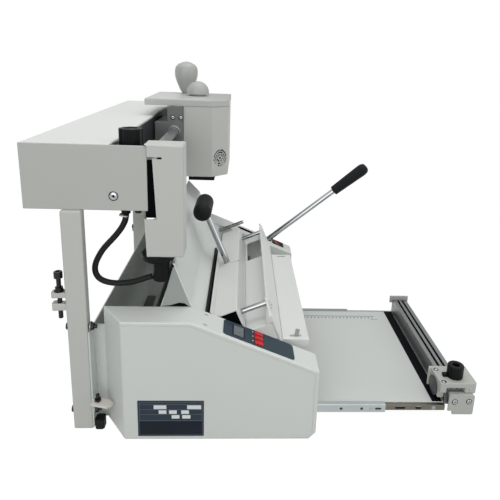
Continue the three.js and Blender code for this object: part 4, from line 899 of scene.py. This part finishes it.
def buildGland():
    g, f, b = gland, gland["flap"], gland["bolt"]
    y, top, nut, collar = g["y"], beam["low"], g["hex"], g["collar"]
    high = top - g["low"]
    middle = high / 2
    where = spot(g["x"], y, g["low"])
    standIn(
        "cable_gland_nut", "cable_gland", blackPlastic,
        (addTurned, where, [
            (0, middle), (nut * 0.92, middle), (nut, middle + 0.6, hexShare), (nut, high - 0.5, hexShare),
            (nut * 0.92, high), (0, high)], 60),
        (addTurned, where, [
            (0, 0), (collar - 1.4, 0), (collar - 0.2, 0.9), (collar, 2), (collar, middle + 0.2),
            (0, middle + 0.2)], 48),
    )
    half, thick = f["half"], f["thick"] / 2
    outline = roundCorners(rectangle(-half, half, -half, half), 2)
    flapPlace = spot(f["x"], y, f["z"]) @ turnY(math.radians(f["tilt"]))
    inner, outer, washerHigh = g["washer"]
    fitting("cable_gland_washer", whiteNylon, "cable_gland",
            (addRing, spot(g["x"], y, top - washerHigh - g["sunk"]), inner, outer, washerHigh),
            (addBlock, outline, -thick, thick, flapPlace, 0.35))
    fitting("beam_under_bolt", blackSteel, "beam_channel",
            (addSocketHead, spot(b["x"], y, top) @ halfTurn, b["radius"], top - b["z"], b["socket"]))


buildBeam()
buildKnob("beam_knob", "beam_lock_knob", beamKnob)
buildGuard()
buildBoss()
buildGland()
print("beam built")


# milling head

head = {
    "near": 350, "far": 522, "back": 163.8, "front": 245.8, "low": 291.5, "high": 423.3, "chamfer": 28.3,
    "sheet": 2, "floor": 3,
    "lidBack": 94.8, "lidOver": 0.8, "lidHigh": 12.2, "lidRound": 2.4, "lidSheet": 3.5,
}
# bridge is the angle between two slots, in degrees at a radius of 1
vent = {
    "z": 326.3, "radii": (15.0, 10.7, 6.3), "slot": 2.7, "bridge": 74.8, "eye": 2.6, "back": 17.6,
    "light": ((-13.5, -3.5, -15.5, -4.5), (3, 12, -14.5, -6)),
}
motor = {"x": 198, "y": 405, "low": 294.5, "high": 88, "radius": 26, "cap": 4, "shaft": 7}

# at the vent's middle local a lies along the angled face, b up, c out of it
ventPlace = (spot(head["front"] - head["chamfer"] / 2, head["near"] + head["chamfer"] / 2, vent["z"])
             @ Matrix.Rotation(math.radians(45), 4, "Z") @ flatNear)


def headPlan(inset, back):
    near, far, front = head["near"] + inset, head["far"] - inset, head["front"] - inset
    turn = head["chamfer"] + math.tan(math.pi / 8) * inset
    return [(back + inset, near), (head["front"] - turn, near), (front, head["near"] + turn), (front, far),
            (back + inset, far)]


def arc(radius, start, end, steps):
    angles = [math.radians(start + (end - start) * step / steps) for step in range(steps + 1)]
    return [(radius * math.cos(angle), radius * math.sin(angle)) for angle in angles]


# concentric slots, each ring broken by four bridges, cut square to the angled face
def addVentCuts(bm):
    outlines = []
    half = vent["slot"] / 2
    for index, radius in enumerate(vent["radii"]):
        bridge = vent["bridge"] / radius
        for quadrant in range(4):
            start = quadrant * 90 + 45 * (index % 2) + bridge / 2
            end = start + 90 - bridge
            outlines.append(arc(radius + half, start, end, 10) + arc(radius - half, end, start, 10))
    outlines.append(arc(vent["eye"], 0, 360, 20)[:-1])
    for outline in outlines:
        addPrism(bm, outline, -6, 6, ventPlace)


def buildShell():
    h = head
    bm = gather([(addPrism, headPlan(0, h["back"]), h["low"], h["high"])])
    softenSheet(bm, 1.4, 0.35)
    bm = carve(bm, [(addPrism, headPlan(h["sheet"], h["back"]), h["low"] + h["floor"], h["high"] + 2)])
    shaft = (addRod, spot(motor["x"], motor["y"], h["low"]), motor["shaft"], -2, h["floor"] + 2)
    bm = carve(bm, [shaft, (addVentCuts,)])
    closePiece("head_shell_sheet", bm, paintedDeep, "head_shell")
    back = -h["sheet"]
    # a black disc behind the slots paints the shade inside the head, and white patches behind the lower slots
    # paint the light seen through them
    fitting("vent_painted_shade", shadeBlack, "head_shell",
            (addRod, shifted(ventPlace, 0, 0, back - 0.9), vent["back"], 0, 0.8, 0.2, 64))
    fitting("vent_painted_light", whiteNylon, "head_shell",
            *each(vent["light"], addPatch, back - 0.4, back - 0.02, ventPlace, 1.5, 0.1))


def buildLid():
    h = head
    top = h["high"] + h["lidHigh"]
    bm = bmesh.new()
    faces = addPrism(bm, headPlan(-h["lidOver"], h["lidBack"]), h["high"], top)
    crown = list(faces[1].edges)
    walls = [edge for edge in bm.edges if edge not in crown and edge not in list(faces[0].edges)]
    bevelEdges(bm, crown + walls, h["lidRound"], 5)
    bm.normal_update()
    bevelEdges(bm, [edge for edge in bm.edges if isSharp(edge)], 0.35, 2)
    hollow = headPlan(h["sheet"] - h["lidOver"], h["lidBack"])
    bm = carve(bm, [(addPrism, hollow, h["high"] - 2, top - h["lidSheet"])])
    closePiece("head_lid_pressed", bm, paintedLid, "head_lid")


# bearing block, its bracket's screws and the ring round the rod
bearing = {
    "near": 342, "screws": ((146.1, 402.6), (160.5, 402.6)), "screw": 3.4, "screwHigh": 2.4, "socket": 1.5,
    "bore": 8.3, "ring": 11.5, "ringHigh": 1.2,
}


def buildBearing():
    b = bearing
    dressed("head_bearing", ironPaint, 0.8, 0.4, 3)
    places = [spot(x, b["near"], z) @ backY for x, z in b["screws"]]
    screws("bearing_screws", chrome, "head_bearing", places, b["screw"], b["screwHigh"], b["socket"])
    # black rings round the screw heads paint the shade at their rims
    fitting("bearing_screw_shade_rings", shadeBlack, "head_bearing",
            *each(places, addRing, b["screw"] - 0.2, b["screw"] + 0.9, 0.3, 0.12, 40))
    where = spot(beam["rodX"], b["near"], beam["rodZ"]) @ backY
    fitting("bearing_ring", turnedSteel, "head_bearing",
            (addRing, where, b["bore"], b["ring"], b["ringHigh"], 0.3, 72))


pear = {
    "x": 153.4, "y": 503, "z": 435.5, "radius": 23.5, "high": 64.5,
    "foot": [(0, -4), (4, -4), (4, 0.2), (8.6, 0.2), (9, 0.6)],
    "shares": [(0.4, 0.03), (0.57, 0.13), (0.65, 0.2), (0.785, 0.317), (0.91, 0.44), (0.985, 0.56), (1, 0.69),
               (0.97, 0.77), (0.91, 0.835), (0.8, 0.885), (0.645, 0.927), (0.35, 0.976), (0.1, 0.998)],
}
dome = {
    "x": 182.4, "y": 446, "z": 435.5, "radius": 22, "high": 28.3,
    "foot": [(0, -4), (4, -4), (4, 0.3), (15.6, 0.3), (16, 0.7), (16, 3), (21.2, 3), (22, 3.8)],
}


def buildHandles():
    side = smoothLine([(pear["radius"] * a, pear["high"] * b) for a, b in pear["shares"]], 5)
    profile = pear["foot"] + side + [(0, pear["high"])]
    standIn("pear_handle", "head_handle", paintedGrip,
            (addTurned, spot(pear["x"], pear["y"], pear["z"]), profile, 72), smooth=50)
    radius, rise = dome["radius"], dome["radius"]
    low = dome["high"] - rise
    cap = [(radius * math.cos(angle), low + rise * math.sin(angle)) for angle in quarter(14)[:-1]]
    profile = dome["foot"] + cap + [(0, dome["high"])]
    standIn("dome_knob", "head_knob", paintedGrip,
            (addTurned, spot(dome["x"], dome["y"], dome["z"]), profile, 72), smooth=40)


def buildMotor():
    m = motor
    r, cap, high = m["radius"], m["cap"], m["high"]
    bearingRadius, top = r * 0.6, high + cap * 2
    profile = [(0, 0), (r - cap - 0.6, 0), (r - cap, 0.6), (r - cap, cap), (r - 0.6, cap), (r, cap + 0.6),
               (r, high - 0.6), (r - 0.6, high), (bearingRadius, high), (bearingRadius, top - 0.6),
               (bearingRadius - 0.6, top), (0, top)]
    standIn("milling_motor", "head_motor", turnedSteel, (addTurned, spot(m["x"], m["y"], m["low"]), profile))


guardScrews = {"x": (179, 216), "y": (360, 454), "z": 284.5, "radius": 2.6, "high": 0.2, "socket": 1.2}


def buildCutter():
    dressed("cutter_guard", blackPlastic, 0.8, 0.4, 3)
    dressed("cutter_disc", turnedSteel, 0.3, 0.2, 3)
    s = guardScrews
    places = [spot(x, y, s["z"]) @ halfTurn for y in s["y"] for x in s["x"]]
    screws("cutter_guard_screws", turnedSteel, "cutter_guard", places, s["radius"], s["high"], s["socket"],
           crossShare)


buildShell()
buildLid()
buildBearing()
buildHandles()
buildMotor()
buildCutter()
print("head built")


# back plate and clamp

gusset = {
    "y0": 46.15, "y1": 46.5,
    "outline": [(184.6, 239.2), (207.6, 178.6), (209.6, 160), (163, 160), (168, 180)],
    "shade": [(168, 178.9), (180, 180.6), (192, 184.4), (199, 183.6), (205, 178.9)],
}
# seam is the middle of the fine joint that runs from the tee's foot to the jaw's front edge; it goes on
# down the jaw's front face as the slit
jaw = {
    "front": 38.5, "end": (3.7, 36.8, 51.2, 52.6), "endLow": -32, "endHigh": -2.2,
    "seam": [(19, 234.6), (24, 231.6), (30, 230), (35.7, 229.4), (40, 229.7)],
    "seamHalf": 0.5, "lineHalf": 0.47,
    "slit": [(229.4, -0.55), (230.1, -0.55), (232.3, -22.7), (231.7, -22.7)],
    "line": [(229.45, -1), (230.05, -1), (232.25, -22.6), (231.75, -22.6)],
}
shelfTab = {"y0": 65.9, "y1": 67.4, "outline": [(355.4, 119), (361.4, 119), (363.6, 133.5), (357.6, 134.5)]}
barDot = {"u": 84.02, "y": 72, "w": -22, "radius": 1.4, "high": 0.25}


def jawSeam(half):
    left = [(u, y + half) for u, y in jaw["seam"]]
    right = [(u, y - half) for u, y in reversed(jaw["seam"])]
    return left + right


def buildClampSheets():
    g, s, d = gusset, shelfTab, barDot
    dressed("back_plate", painted, 0.8, 0.5)
    # a thin sheet in the darker paint over the near gusset paints the shade it lies in, and a black wedge at
    # its foot paints a shadow
    fitting("near_gusset_plate", shadedPaint, "back_plate",
            (addBlock, roundCorners(g["outline"], 1), -g["y1"], -g["y0"], nearFace, 0.2, 2, (1,)))
    fitting("near_gusset_painted_shadow", shadeBlack, "back_plate",
            (addPrism, g["shade"], -g["y0"] - 0.05, -g["y0"] + 0.08, nearFace))
    dressed("jaw_lip", blackRubber, 0.6, 0.6, 2)
    front = shifted(clampPlace, jaw["front"], 0, 0) @ alongX
    seam = (addPrism, jawSeam(jaw["seamHalf"]), -0.5, 3, clampPlace)
    dressed("clamp_jaw", paintedLight, 1.4, cuts=[seam, (addPrism, jaw["slit"], 0, 3, front)])
    # a black plate over the jaw's hollow near end paints the shade inside it
    end = rectangle(*jaw["end"])
    fitting("jaw_end_painted_shade", shadeBlack, "clamp_jaw",
            (addBlock, end, jaw["endLow"], jaw["endHigh"], clampPlace, 0.4, 2, (1,)))
    # black strips at the bottom of the seam and slit paint the shade inside the joint
    fitting("jaw_joint_painted_shade", shadeBlack, "clamp_jaw",
            (addPrism, jawSeam(jaw["lineHalf"])[1:-1], -1.2, -0.1, clampPlace),
            (addPrism, jaw["line"], -0.6, 0.35, front))
    dressed("jaw_strip", paintedLight, 0.4, 0.3, 1)
    dressed("front_bar", paintedLight, 0.8, 0.6, 2)
    dressed("front_shelf", paintedLight, 1.4)
    # the shelf's tab in the darker paint, painted shade
    fitting("shelf_tab", shadedPaint, "front_shelf",
            (addBlock, roundCorners(s["outline"], 1), s["y0"], s["y1"], farFace))
    # a black dot on the bar's tab paints a small spot of shade
    dot = [(0, 0), (d["radius"], 0), (d["radius"], d["high"]), (0, d["high"])]
    fitting("bar_tab_painted_shade", shadeBlack, "front_bar",
            (addTurned, shifted(clampPlace, d["u"], d["y"], d["w"]) @ alongX, dot, 24))
    dressed("clamp_bed", paintedLight)


rods = {
    "near_guide_pin": {"y": 72, "w": -16, "radius": 4, "u0": 6.5, "u1": 84},
    "far_guide_pin": {"y": 380, "w": -16, "radius": 4, "u0": 6.5, "u1": 84},
    "stop_rod": {"y": 418, "w": 5.5, "radius": 3.5, "u0": -4.0, "u1": 50},
}


def buildRods():
    for node, r in rods.items():
        where = shifted(clampPlace, 0, r["y"], r["w"]) @ alongX
        standIn(node + "_turned", node, chrome, (addRod, where, r["radius"], r["u0"], r["u1"], 0.9, 56, 4))


tee = {
    "u": 18, "y": 240, "w": 108, "stem": 5, "foot": 5.8, "footHigh": 1.2,
    "grip": 15, "half": 42.5, "end": 12.75,
}


def buildTee():
    t = tee
    foot, footHigh, grip, half, end = (t[key] for key in ("foot", "footHigh", "grip", "half", "end"))
    where = shifted(clampPlace, t["u"], t["y"], 0)
    top = t["w"] - grip + 2
    profile = [(0, 0), (foot - 0.2, 0), (foot, 0.2), (foot, footHigh - 0.3), (foot - 0.3, footHigh),
               (t["stem"], footHigh), (t["stem"], top), (0, top)]
    standIn("tee_stem_turned", "tee_stem", chrome, (addTurned, where, profile, 56))
    profile = [(0, -half)]
    profile += [(grip * math.sin(angle), -half + end * (1 - math.cos(angle))) for angle in quarter(8, 1)]
    profile += [(grip * math.cos(angle), half - end + end * math.sin(angle)) for angle in quarter(8)[:-1]]
    profile.append((0, half))
    standIn("tee_grip_moulded", "tee_grip", blackRubber,
            (addTurned, shifted(where, 0, 0, t["w"]) @ alongY, profile, 72), smooth=50)


# fluted says between which shares of the grip's length the flutes run
clampLever = {
    "hub": 13, "wide": 13, "bore": 6.05, "rod": 5.7, "reach": 232.6, "gripNear": 10.2, "gripFar": 12.7,
    "gripLow": 0.3, "gripLong": 88, "widest": 0.82, "neck": 6.5,
    "flutes": 12, "flute": 0.08, "fluted": (0.06, 0.8),
    "shares": [(0.01, 0.93), (0.03, 1), (0.06, 1), (0.3, 1), (0.55, 1), (0.8, 1), (0.86, 0.985), (0.91, 0.93),
               (0.95, 0.83), (0.98, 0.66), (0.995, 0.4), (1.0, 0.15)],
}


def buildLever():
    c = clampLever
    middle = c["wide"] / 2
    arm = shifted(leverPlace, 0, middle, 0) @ alongX
    standIn("lever_arm_turned", "lever_arm", chrome,
            (addRing, leverPlace @ alongY, c["bore"], c["hub"], c["wide"], 0.8, 64),
            (addRod, arm, c["rod"], c["hub"] - 1.5, c["reach"], 0.6, 56))
    flutes = lobeShare(c["flutes"], c["flute"])
    first, last = c["fluted"]
    low, long = c["gripLow"], c["gripLong"]
    profile = [(0, low), (c["neck"], low)]
    for along, wide in c["shares"]:
        radius = (c["gripNear"] + (c["gripFar"] - c["gripNear"]) * min(1, along / c["widest"])) * wide
        profile.append((radius, low + long * along, flutes if first <= along <= last else None))
    profile.append((0, low + long))
    where = shifted(leverPlace, c["reach"], middle, 0) @ alongX
    standIn("lever_grip_moulded", "lever_grip", blackRubber, (addTurned, where, profile, 144), smooth=50)
    dressed("cam_shaft", turnedSteel, 0.3, 0.3, 3)


glueRoller = {"x": 188, "z": 112, "axle": (4, 47, 433.8, 0.5), "drum": (14, 52.8, 427.7, 0.8, 72)}


def buildGlue():
    dressed("glue_pot", ironPaint, 1.2, 0.5)
    r = glueRoller
    where = spot(r["x"], 0, r["z"]) @ alongY
    standIn("glue_roller_turned", "glue_roller", turnedSteel,
            (addRod, where, *r["axle"]), (addRod, where, *r["drum"]))


buildClampSheets()
buildRods()
buildTee()
buildLever()
buildGlue()
print("clamp built")


# control overlay with its display, lamps and buttons

panel = {
    "top": 0.8, "display": (60, 74.5, 12, 36.3), "frame": 2.0, "lamps": 88.2, "lampShift": 1.5, "lamp": 0.9,
}
buttons = {
    "s": (91, 103), "wide": 9.0, "high": 2.3, "low": -1.8, "rim": 0.7, "rimLow": -2.8,
    "y": {"button_lower": 12.9, "button_middle": 24.5, "button_upper": 36.1},
}


def buildPanel():
    dressed("control_overlay", slateFilm, 0.3, 0.2, 2)
    p = panel
    top, frame, lamp = p["top"], p["frame"], p["lamp"]
    a0, a1, b0, b1 = p["display"]
    around = (a0 - frame, a1 + frame, b0 - frame * 0.6, b1 + frame * 0.6)
    fitting("display_frame", plateDark, "control_overlay",
            (addPatch, around, top - 0.3, top + 0.25, slopePlace, 0.8, 0.15))
    fitting("display_glass", displayGlass, "control_overlay",
            (addPatch, p["display"], top, top + 0.4, slopePlace, 0.4, 0.1))
    places = [shifted(slopePlace, p["lamps"], y + p["lampShift"], top) for y in buttons["y"].values()]
    profile = [(0, -0.3), (lamp, -0.3), (lamp, 0.15), (lamp * 0.7, 0.4), (0, 0.5)]
    fitting("button_lamps", printLight, "control_overlay", *each(places, addTurned, profile, 24))


def buildButtons():
    b = buttons
    (s0, s1), half, rim = b["s"], b["wide"] / 2, b["rim"]
    for node, y in b["y"].items():
        cap = roundCorners(rectangle(s0, s1, y - half, y + half), 1.6)
        foot = (s0 - 1.5, s1 + 1.5, y - half - rim, y + half + rim)
        standIn(node + "_cap", node, redPlastic,
                (addBlock, cap, b["low"], b["high"], slopePlace, 0.9, 4, (1,)),
                (addPatch, foot, b["rimLow"], b["low"], slopePlace, 0.6, 0.2))


rocker = {"outer": (142.6, 169, 449.5, 474.5), "hole": (144.2, 160.8, 452.7, 471.3), "low": 0.05, "rise": 1.4}


def buildRocker():
    # the rocker in the darker red is painted shade; the black bezel's wide right side is partly real bezel
    # and partly paints the rocker's shaded half
    dressed("power_rocker", shadedRed, 0.7, 0.5, 2)
    r = rocker
    outer = roundCorners(rectangle(*r["outer"]), 1.6)
    bm = gather([(addBlock, outer, r["low"], r["rise"], slopePlace, 0.5, 3, (1,))])
    bm = carve(bm, [(addPrism, rectangle(*r["hole"]), -2, 4, slopePlace)])
    closePiece("rocker_bezel_painted_shade", bm, blackPlastic, "far_housing", stands=False)


buildPanel()
buildButtons()
buildRocker()
print("controls built")


# trimming table

table = {
    "top": 18, "x0": 404, "x1": 544, "y": 316.6, "pitch": 7.2, "tick": 3.4, "longTick": 4.6, "line": 1.15,
    "sunk": 0.1, "proud": 0.05,
}


def buildTable():
    dressed("table_board", boardCoat, 0.6, 0.5, 2)
    dressed("cutting_mat", matRubber, 0.3, 0.25, 0.7)
    t = table
    x0, x1, y = t["x0"], t["x1"], t["y"]
    boxes = [(x0 - 10, x1 + 2, y + 5.4, y + 7.2)]
    for index in range(int((x1 - x0) / t["pitch"]) + 1):
        x = x0 + t["pitch"] * index
        half = t["tick" if index % 2 else "longTick"] / 2
        boxes.append((x - t["line"], x + t["line"], y - half, y + half))
    boxes.append((x1 - 8, x1 + 7, y - 6.4, y - 5.4))
    fitting("board_scale", printGrey, "table_board",
            *each(boxes, addPatch, t["top"] - t["sunk"], t["top"] + t["proud"], upright, 0))


# drawer slides: y is each member's outer face, and a hole has its x, radius and length
slides = {
    "z": 12.7, "screw": (3.2, 0.34, 1.3),
    "near": {"outer": 46.5, "mid": 48.5, "inner": 50.5},
    "far": {"outer": 354.5, "mid": 352.5, "inner": 350.5},
    "holes": {
        "outer": [(180, 2.4, 0), (262, 2.4, 6), (350, 2.4, 0)],
        "mid": [(300, 2.2, 0), (360, 2.2, 6), (430, 2.2, 0), (461, 2.3, 0), (486, 1.8, 6)],
        "inner": [(372, 2.2, 0), (420, 2.2, 8), (520, 2.0, 12), (548, 2.2, 5)],
    },
}


def slideHole(y, x, radius, long):
    reach = long / 2 + radius
    outline = roundCorners(rectangle(-reach, reach, -radius, radius), radius * 0.98, 8)
    return (addPrism, outline, 0, 6, spot(x, y - 3, slides["z"]) @ flatFar)


def buildSlides():
    s = slides
    for side in ("near", "far"):
        for level, holes in s["holes"].items():
            finish = zincDull if (side, level) == ("near", "inner") else zincPlate
            cuts = [slideHole(s[side][level], *hole) for hole in holes]
            dressed(side + "_slide_" + level, finish, 0.9, 0.25, 2.5, cuts)
    for level, x, finish in (("mid", 475, chrome), ("inner", 571.5, turnedSteel)):
        for side, face in (("near", backY), ("far", alongY)):
            node = side + "_slide_" + level
            places = [spot(x, s[side][level], s["z"]) @ face]
            screws(node + "_screw", finish, node, places, *s["screw"], crossShare)


railGrooves = {"x": (598, 607), "half": 1.7, "y": (58.5, 343), "low": 41.05, "high": 42.6}
bracketStep = {"box": (594, 629.5, 49.3, 56.5), "low": 32, "high": 37.1}
# a head has its radius, height and socket
bracketScrews = {
    "near": {"y": 46.5, "at": ((601.1, 25.9), (622.7, 26.6)), "head": (3.6, 1.6, 1.7)},
    "far": {"y": 349.3, "at": ((601, 46.5), (613, 46.5)), "head": (3.2, 1.6, 1.5)},
    "low": (603, 50.2, 10.5), "lowHead": (3.2, 1.2, 1.4),
}


def buildRail():
    dressed("rail_extrusion", anodised, 0.4, 0.3, 3)
    dressed("rail_far_bracket", bracketPaint, 0.8, 0.5, 3)
    dressed("rail_near_bracket", castPaint, 0.8, 0.5, 2)
    g, s, b = railGrooves, bracketStep, bracketScrews
    near, far = "rail_near_bracket", "rail_far_bracket"
    boxes = [(x - g["half"], x + g["half"], *g["y"]) for x in g["x"]]
    # black strips in the rail's grooves paint the shade inside them
    fitting("rail_groove_painted_shade", shadeBlack, "rail_extrusion",
            *each(boxes, addPatch, g["low"], g["high"], upright, 0.3))
    nearPlaces, farPlaces = (
        [spot(x, b[side]["y"], z) @ face for x, z in b[side]["at"]]
        for side, face in (("near", backY), ("far", alongY)))
    screws("near_bracket_screws", chrome, near, nearPlaces, *b["near"]["head"], crossShare)
    fitting("near_bracket_step", castPaint, near, (addBlock, rectangle(*s["box"]), s["low"], s["high"]))
    # black rings round the screw heads and black crosses in them paint the shade at their rims and in their
    # slots
    shadePit = [(0, 0.6), (1.6, 0.6, crossShare), (1.6, 1.0, crossShare), (0, 1.0)]
    fitting("near_bracket_screw_shade", shadeBlack, near,
            *each(nearPlaces, addRing, 3.3, 4.5, 0.35, 0.12, 40), *each(nearPlaces, addTurned, shadePit, 40))
    screws("near_bracket_low_screw", blackSteel, near, [spot(*b["low"]) @ backY], *b["lowHead"], crossShare)
    screws("far_bracket_screws", chrome, far, farPlaces, *b["far"]["head"], crossShare)


carriage = {
    "top": 54, "near": 51.5, "topScrews": ((584.0, 88.0), (584.6, 56.4)), "nearScrew": (625, 45),
    "clip": (588, 596, 68, 76), "clipHigh": 58,
}
trimKnob = {
    "x": 606, "y": 70, "low": 54.3, "high": 20, "radius": 12.2, "lobes": 16, "lobe": 0.035, "corner": 1.2,
    "dish": 0.42, "dishDeep": 5, "stem": (4, -8.6, 0.5),
}


def buildCarriage():
    c = carriage
    top = c["top"]
    dressed("trim_carriage", castPaint, 2.0, 0.5, 4)
    x, z = c["nearScrew"]
    fitting("carriage_screws", chrome, "trim_carriage",
            *each([spot(*at, top - 0.2) for at in c["topScrews"]], addDomeHead, 3.0, 1.2, 1.3),
            (addDomeHead, spot(x, c["near"], z) @ backY, 2.4, 1.0, 1.1))
    # black rings round the top screws paint the shade at their rims
    fitting("carriage_screw_shade_rings", shadeBlack, "trim_carriage",
            *each([spot(*at, top) for at in c["topScrews"]], addRing, 2.8, 3.9, 0.3, 0.12, 40))
    fitting("carriage_clip", blackPlastic, "trim_carriage",
            (addPatch, c["clip"], top - 0.1, c["clipHigh"], upright, 1.2, 0.8))


blade = {
    "x": 575.7, "y": 76, "z": 34.3, "radius": 15, "thick": 1.6, "ground": 2.6, "hub": 5, "hubHigh": 0.6,
    "axle": 2, "axleEnd": 12.5, "edge": 0.08,
}


def buildBlade():
    b = blade
    r, thick, hub, axle = b["radius"], b["thick"], b["hub"], b["axle"]
    low, high, flat = -b["hubHigh"], thick + b["hubHigh"], r - b["ground"]
    profile = [(0, low), (hub - 0.4, low), (hub, low + 0.4), (hub, 0), (flat, 0), (r, thick / 2 - b["edge"]),
               (r, thick / 2 + b["edge"]), (flat, thick), (hub, thick), (hub, high), (axle, high),
               (axle, b["axleEnd"]), (0, b["axleEnd"])]
    where = spot(b["x"], b["y"], b["z"]) @ alongX
    standIn("trim_blade_ground", "trim_blade", bladeSteel, (addTurned, where, profile, 96), smooth=20)


buildTable()
buildSlides()
buildRail()
buildCarriage()
buildKnob("carriage_knob_moulded", "trim_knob", trimKnob)
buildBlade()
print("table built")


# floor, world and lamps

studio = {"floor": 10, "level": -0.0005, "bright": 1.13, "direct": 0.86, "ground": 0.42, "ambient": 0.45}
lamps = [
    {"name": "top", "at": (0.1, -0.1, 2.3), "to": (0, 0, 0.15), "size": 2.2, "power": 24},
    {"name": "front", "at": (2.2, -1.0, 0.7), "to": (0, 0, 0.2), "size": 1.6, "power": 10},
    {"name": "viewer", "at": (-0.5, -2.3, 0.9), "to": (0, 0, 0.2), "size": 1.8, "power": 17.5},
]
# dark cards beside the set, seen only by reflections, give the chrome its dark lines
cards = [((-2.2, -1.2, 0.9), 1.2, 1.6), ((1.2, -3.0, 0.35), 1.4, 0.6), ((0.6, 3.0, 1.0), 2.0, 1.2)]


def seenDirectly(surface):
    seen, glossy, through = (
        surface.node("ShaderNodeLightPath", output="Is " + ray + " Ray")
        for ray in ("Camera", "Glossy", "Transmission"))
    return seen.sum("MAXIMUM", glossy).sum("MAXIMUM", through)


def flatSheet(name, wide, high, level, finish):
    bm = bmesh.new()
    corners = rectangle(-wide / 2, wide / 2, -high / 2, high / 2)
    bm.faces.new([bm.verts.new((a, b, level)) for a, b in corners])
    mesh = meshFrom(name, bm)
    mesh.materials.append(finish)
    return linked(name, mesh)


def pointAt(holder, place, target):
    holder.location = place
    holder.rotation_euler = (Vector(target) - Vector(place)).to_track_quat("-Z", "Y").to_euler()


def buildFloor():
    floor = newSurface("floor_white")
    ground = studio["ground"]
    plain = floor.node("ShaderNodeBsdfDiffuse", {"Color": (ground, ground, ground, 1)})
    bright = floor.node("ShaderNodeEmission", {"Color": (1, 1, 1, 1), "Strength": studio["bright"]})
    finish = floor.finish(floor.node(
        "ShaderNodeMixShader", {0: seenDirectly(floor) * studio["direct"], 1: plain, 2: bright}))
    flatSheet("floor", studio["floor"], studio["floor"], studio["level"], finish)


def buildWorld():
    sky = Surface(bpy.data.worlds.new("studio"), "ShaderNodeOutputWorld")
    dim, white = (
        sky.node("ShaderNodeBackground", {"Color": (1, 1, 1, 1), "Strength": strength})
        for strength in (studio["ambient"], 1.0))
    mixed = sky.node("ShaderNodeMixShader", {0: seenDirectly(sky), 1: dim, 2: white})
    bpy.context.scene.world = sky.finish(mixed)


def buildLamps():
    for lamp in lamps:
        light = bpy.data.lights.new(lamp["name"], "AREA")
        light.shape = "SQUARE"
        light.size = lamp["size"]
        light.energy = lamp["power"]
        pointAt(linked(lamp["name"], light), lamp["at"], lamp["to"])


def buildCards():
    card = newSurface("card_dark")
    finish = card.finish(card.node("ShaderNodeBsdfDiffuse", {"Color": (0.03, 0.03, 0.035, 1)}))
    for index, (place, wide, high) in enumerate(cards):
        piece = flatSheet("card_" + str(index), wide, high, 0, finish)
        pointAt(piece, place, (0, 0, 0.2))
        piece.visible_camera = False
        piece.visible_diffuse = False
        piece.visible_shadow = False
        piece.visible_transmission = False


buildFloor()
buildWorld()
buildLamps()
buildCards()
bpy.context.scene.view_settings.view_transform = "Standard"
print("studio built")
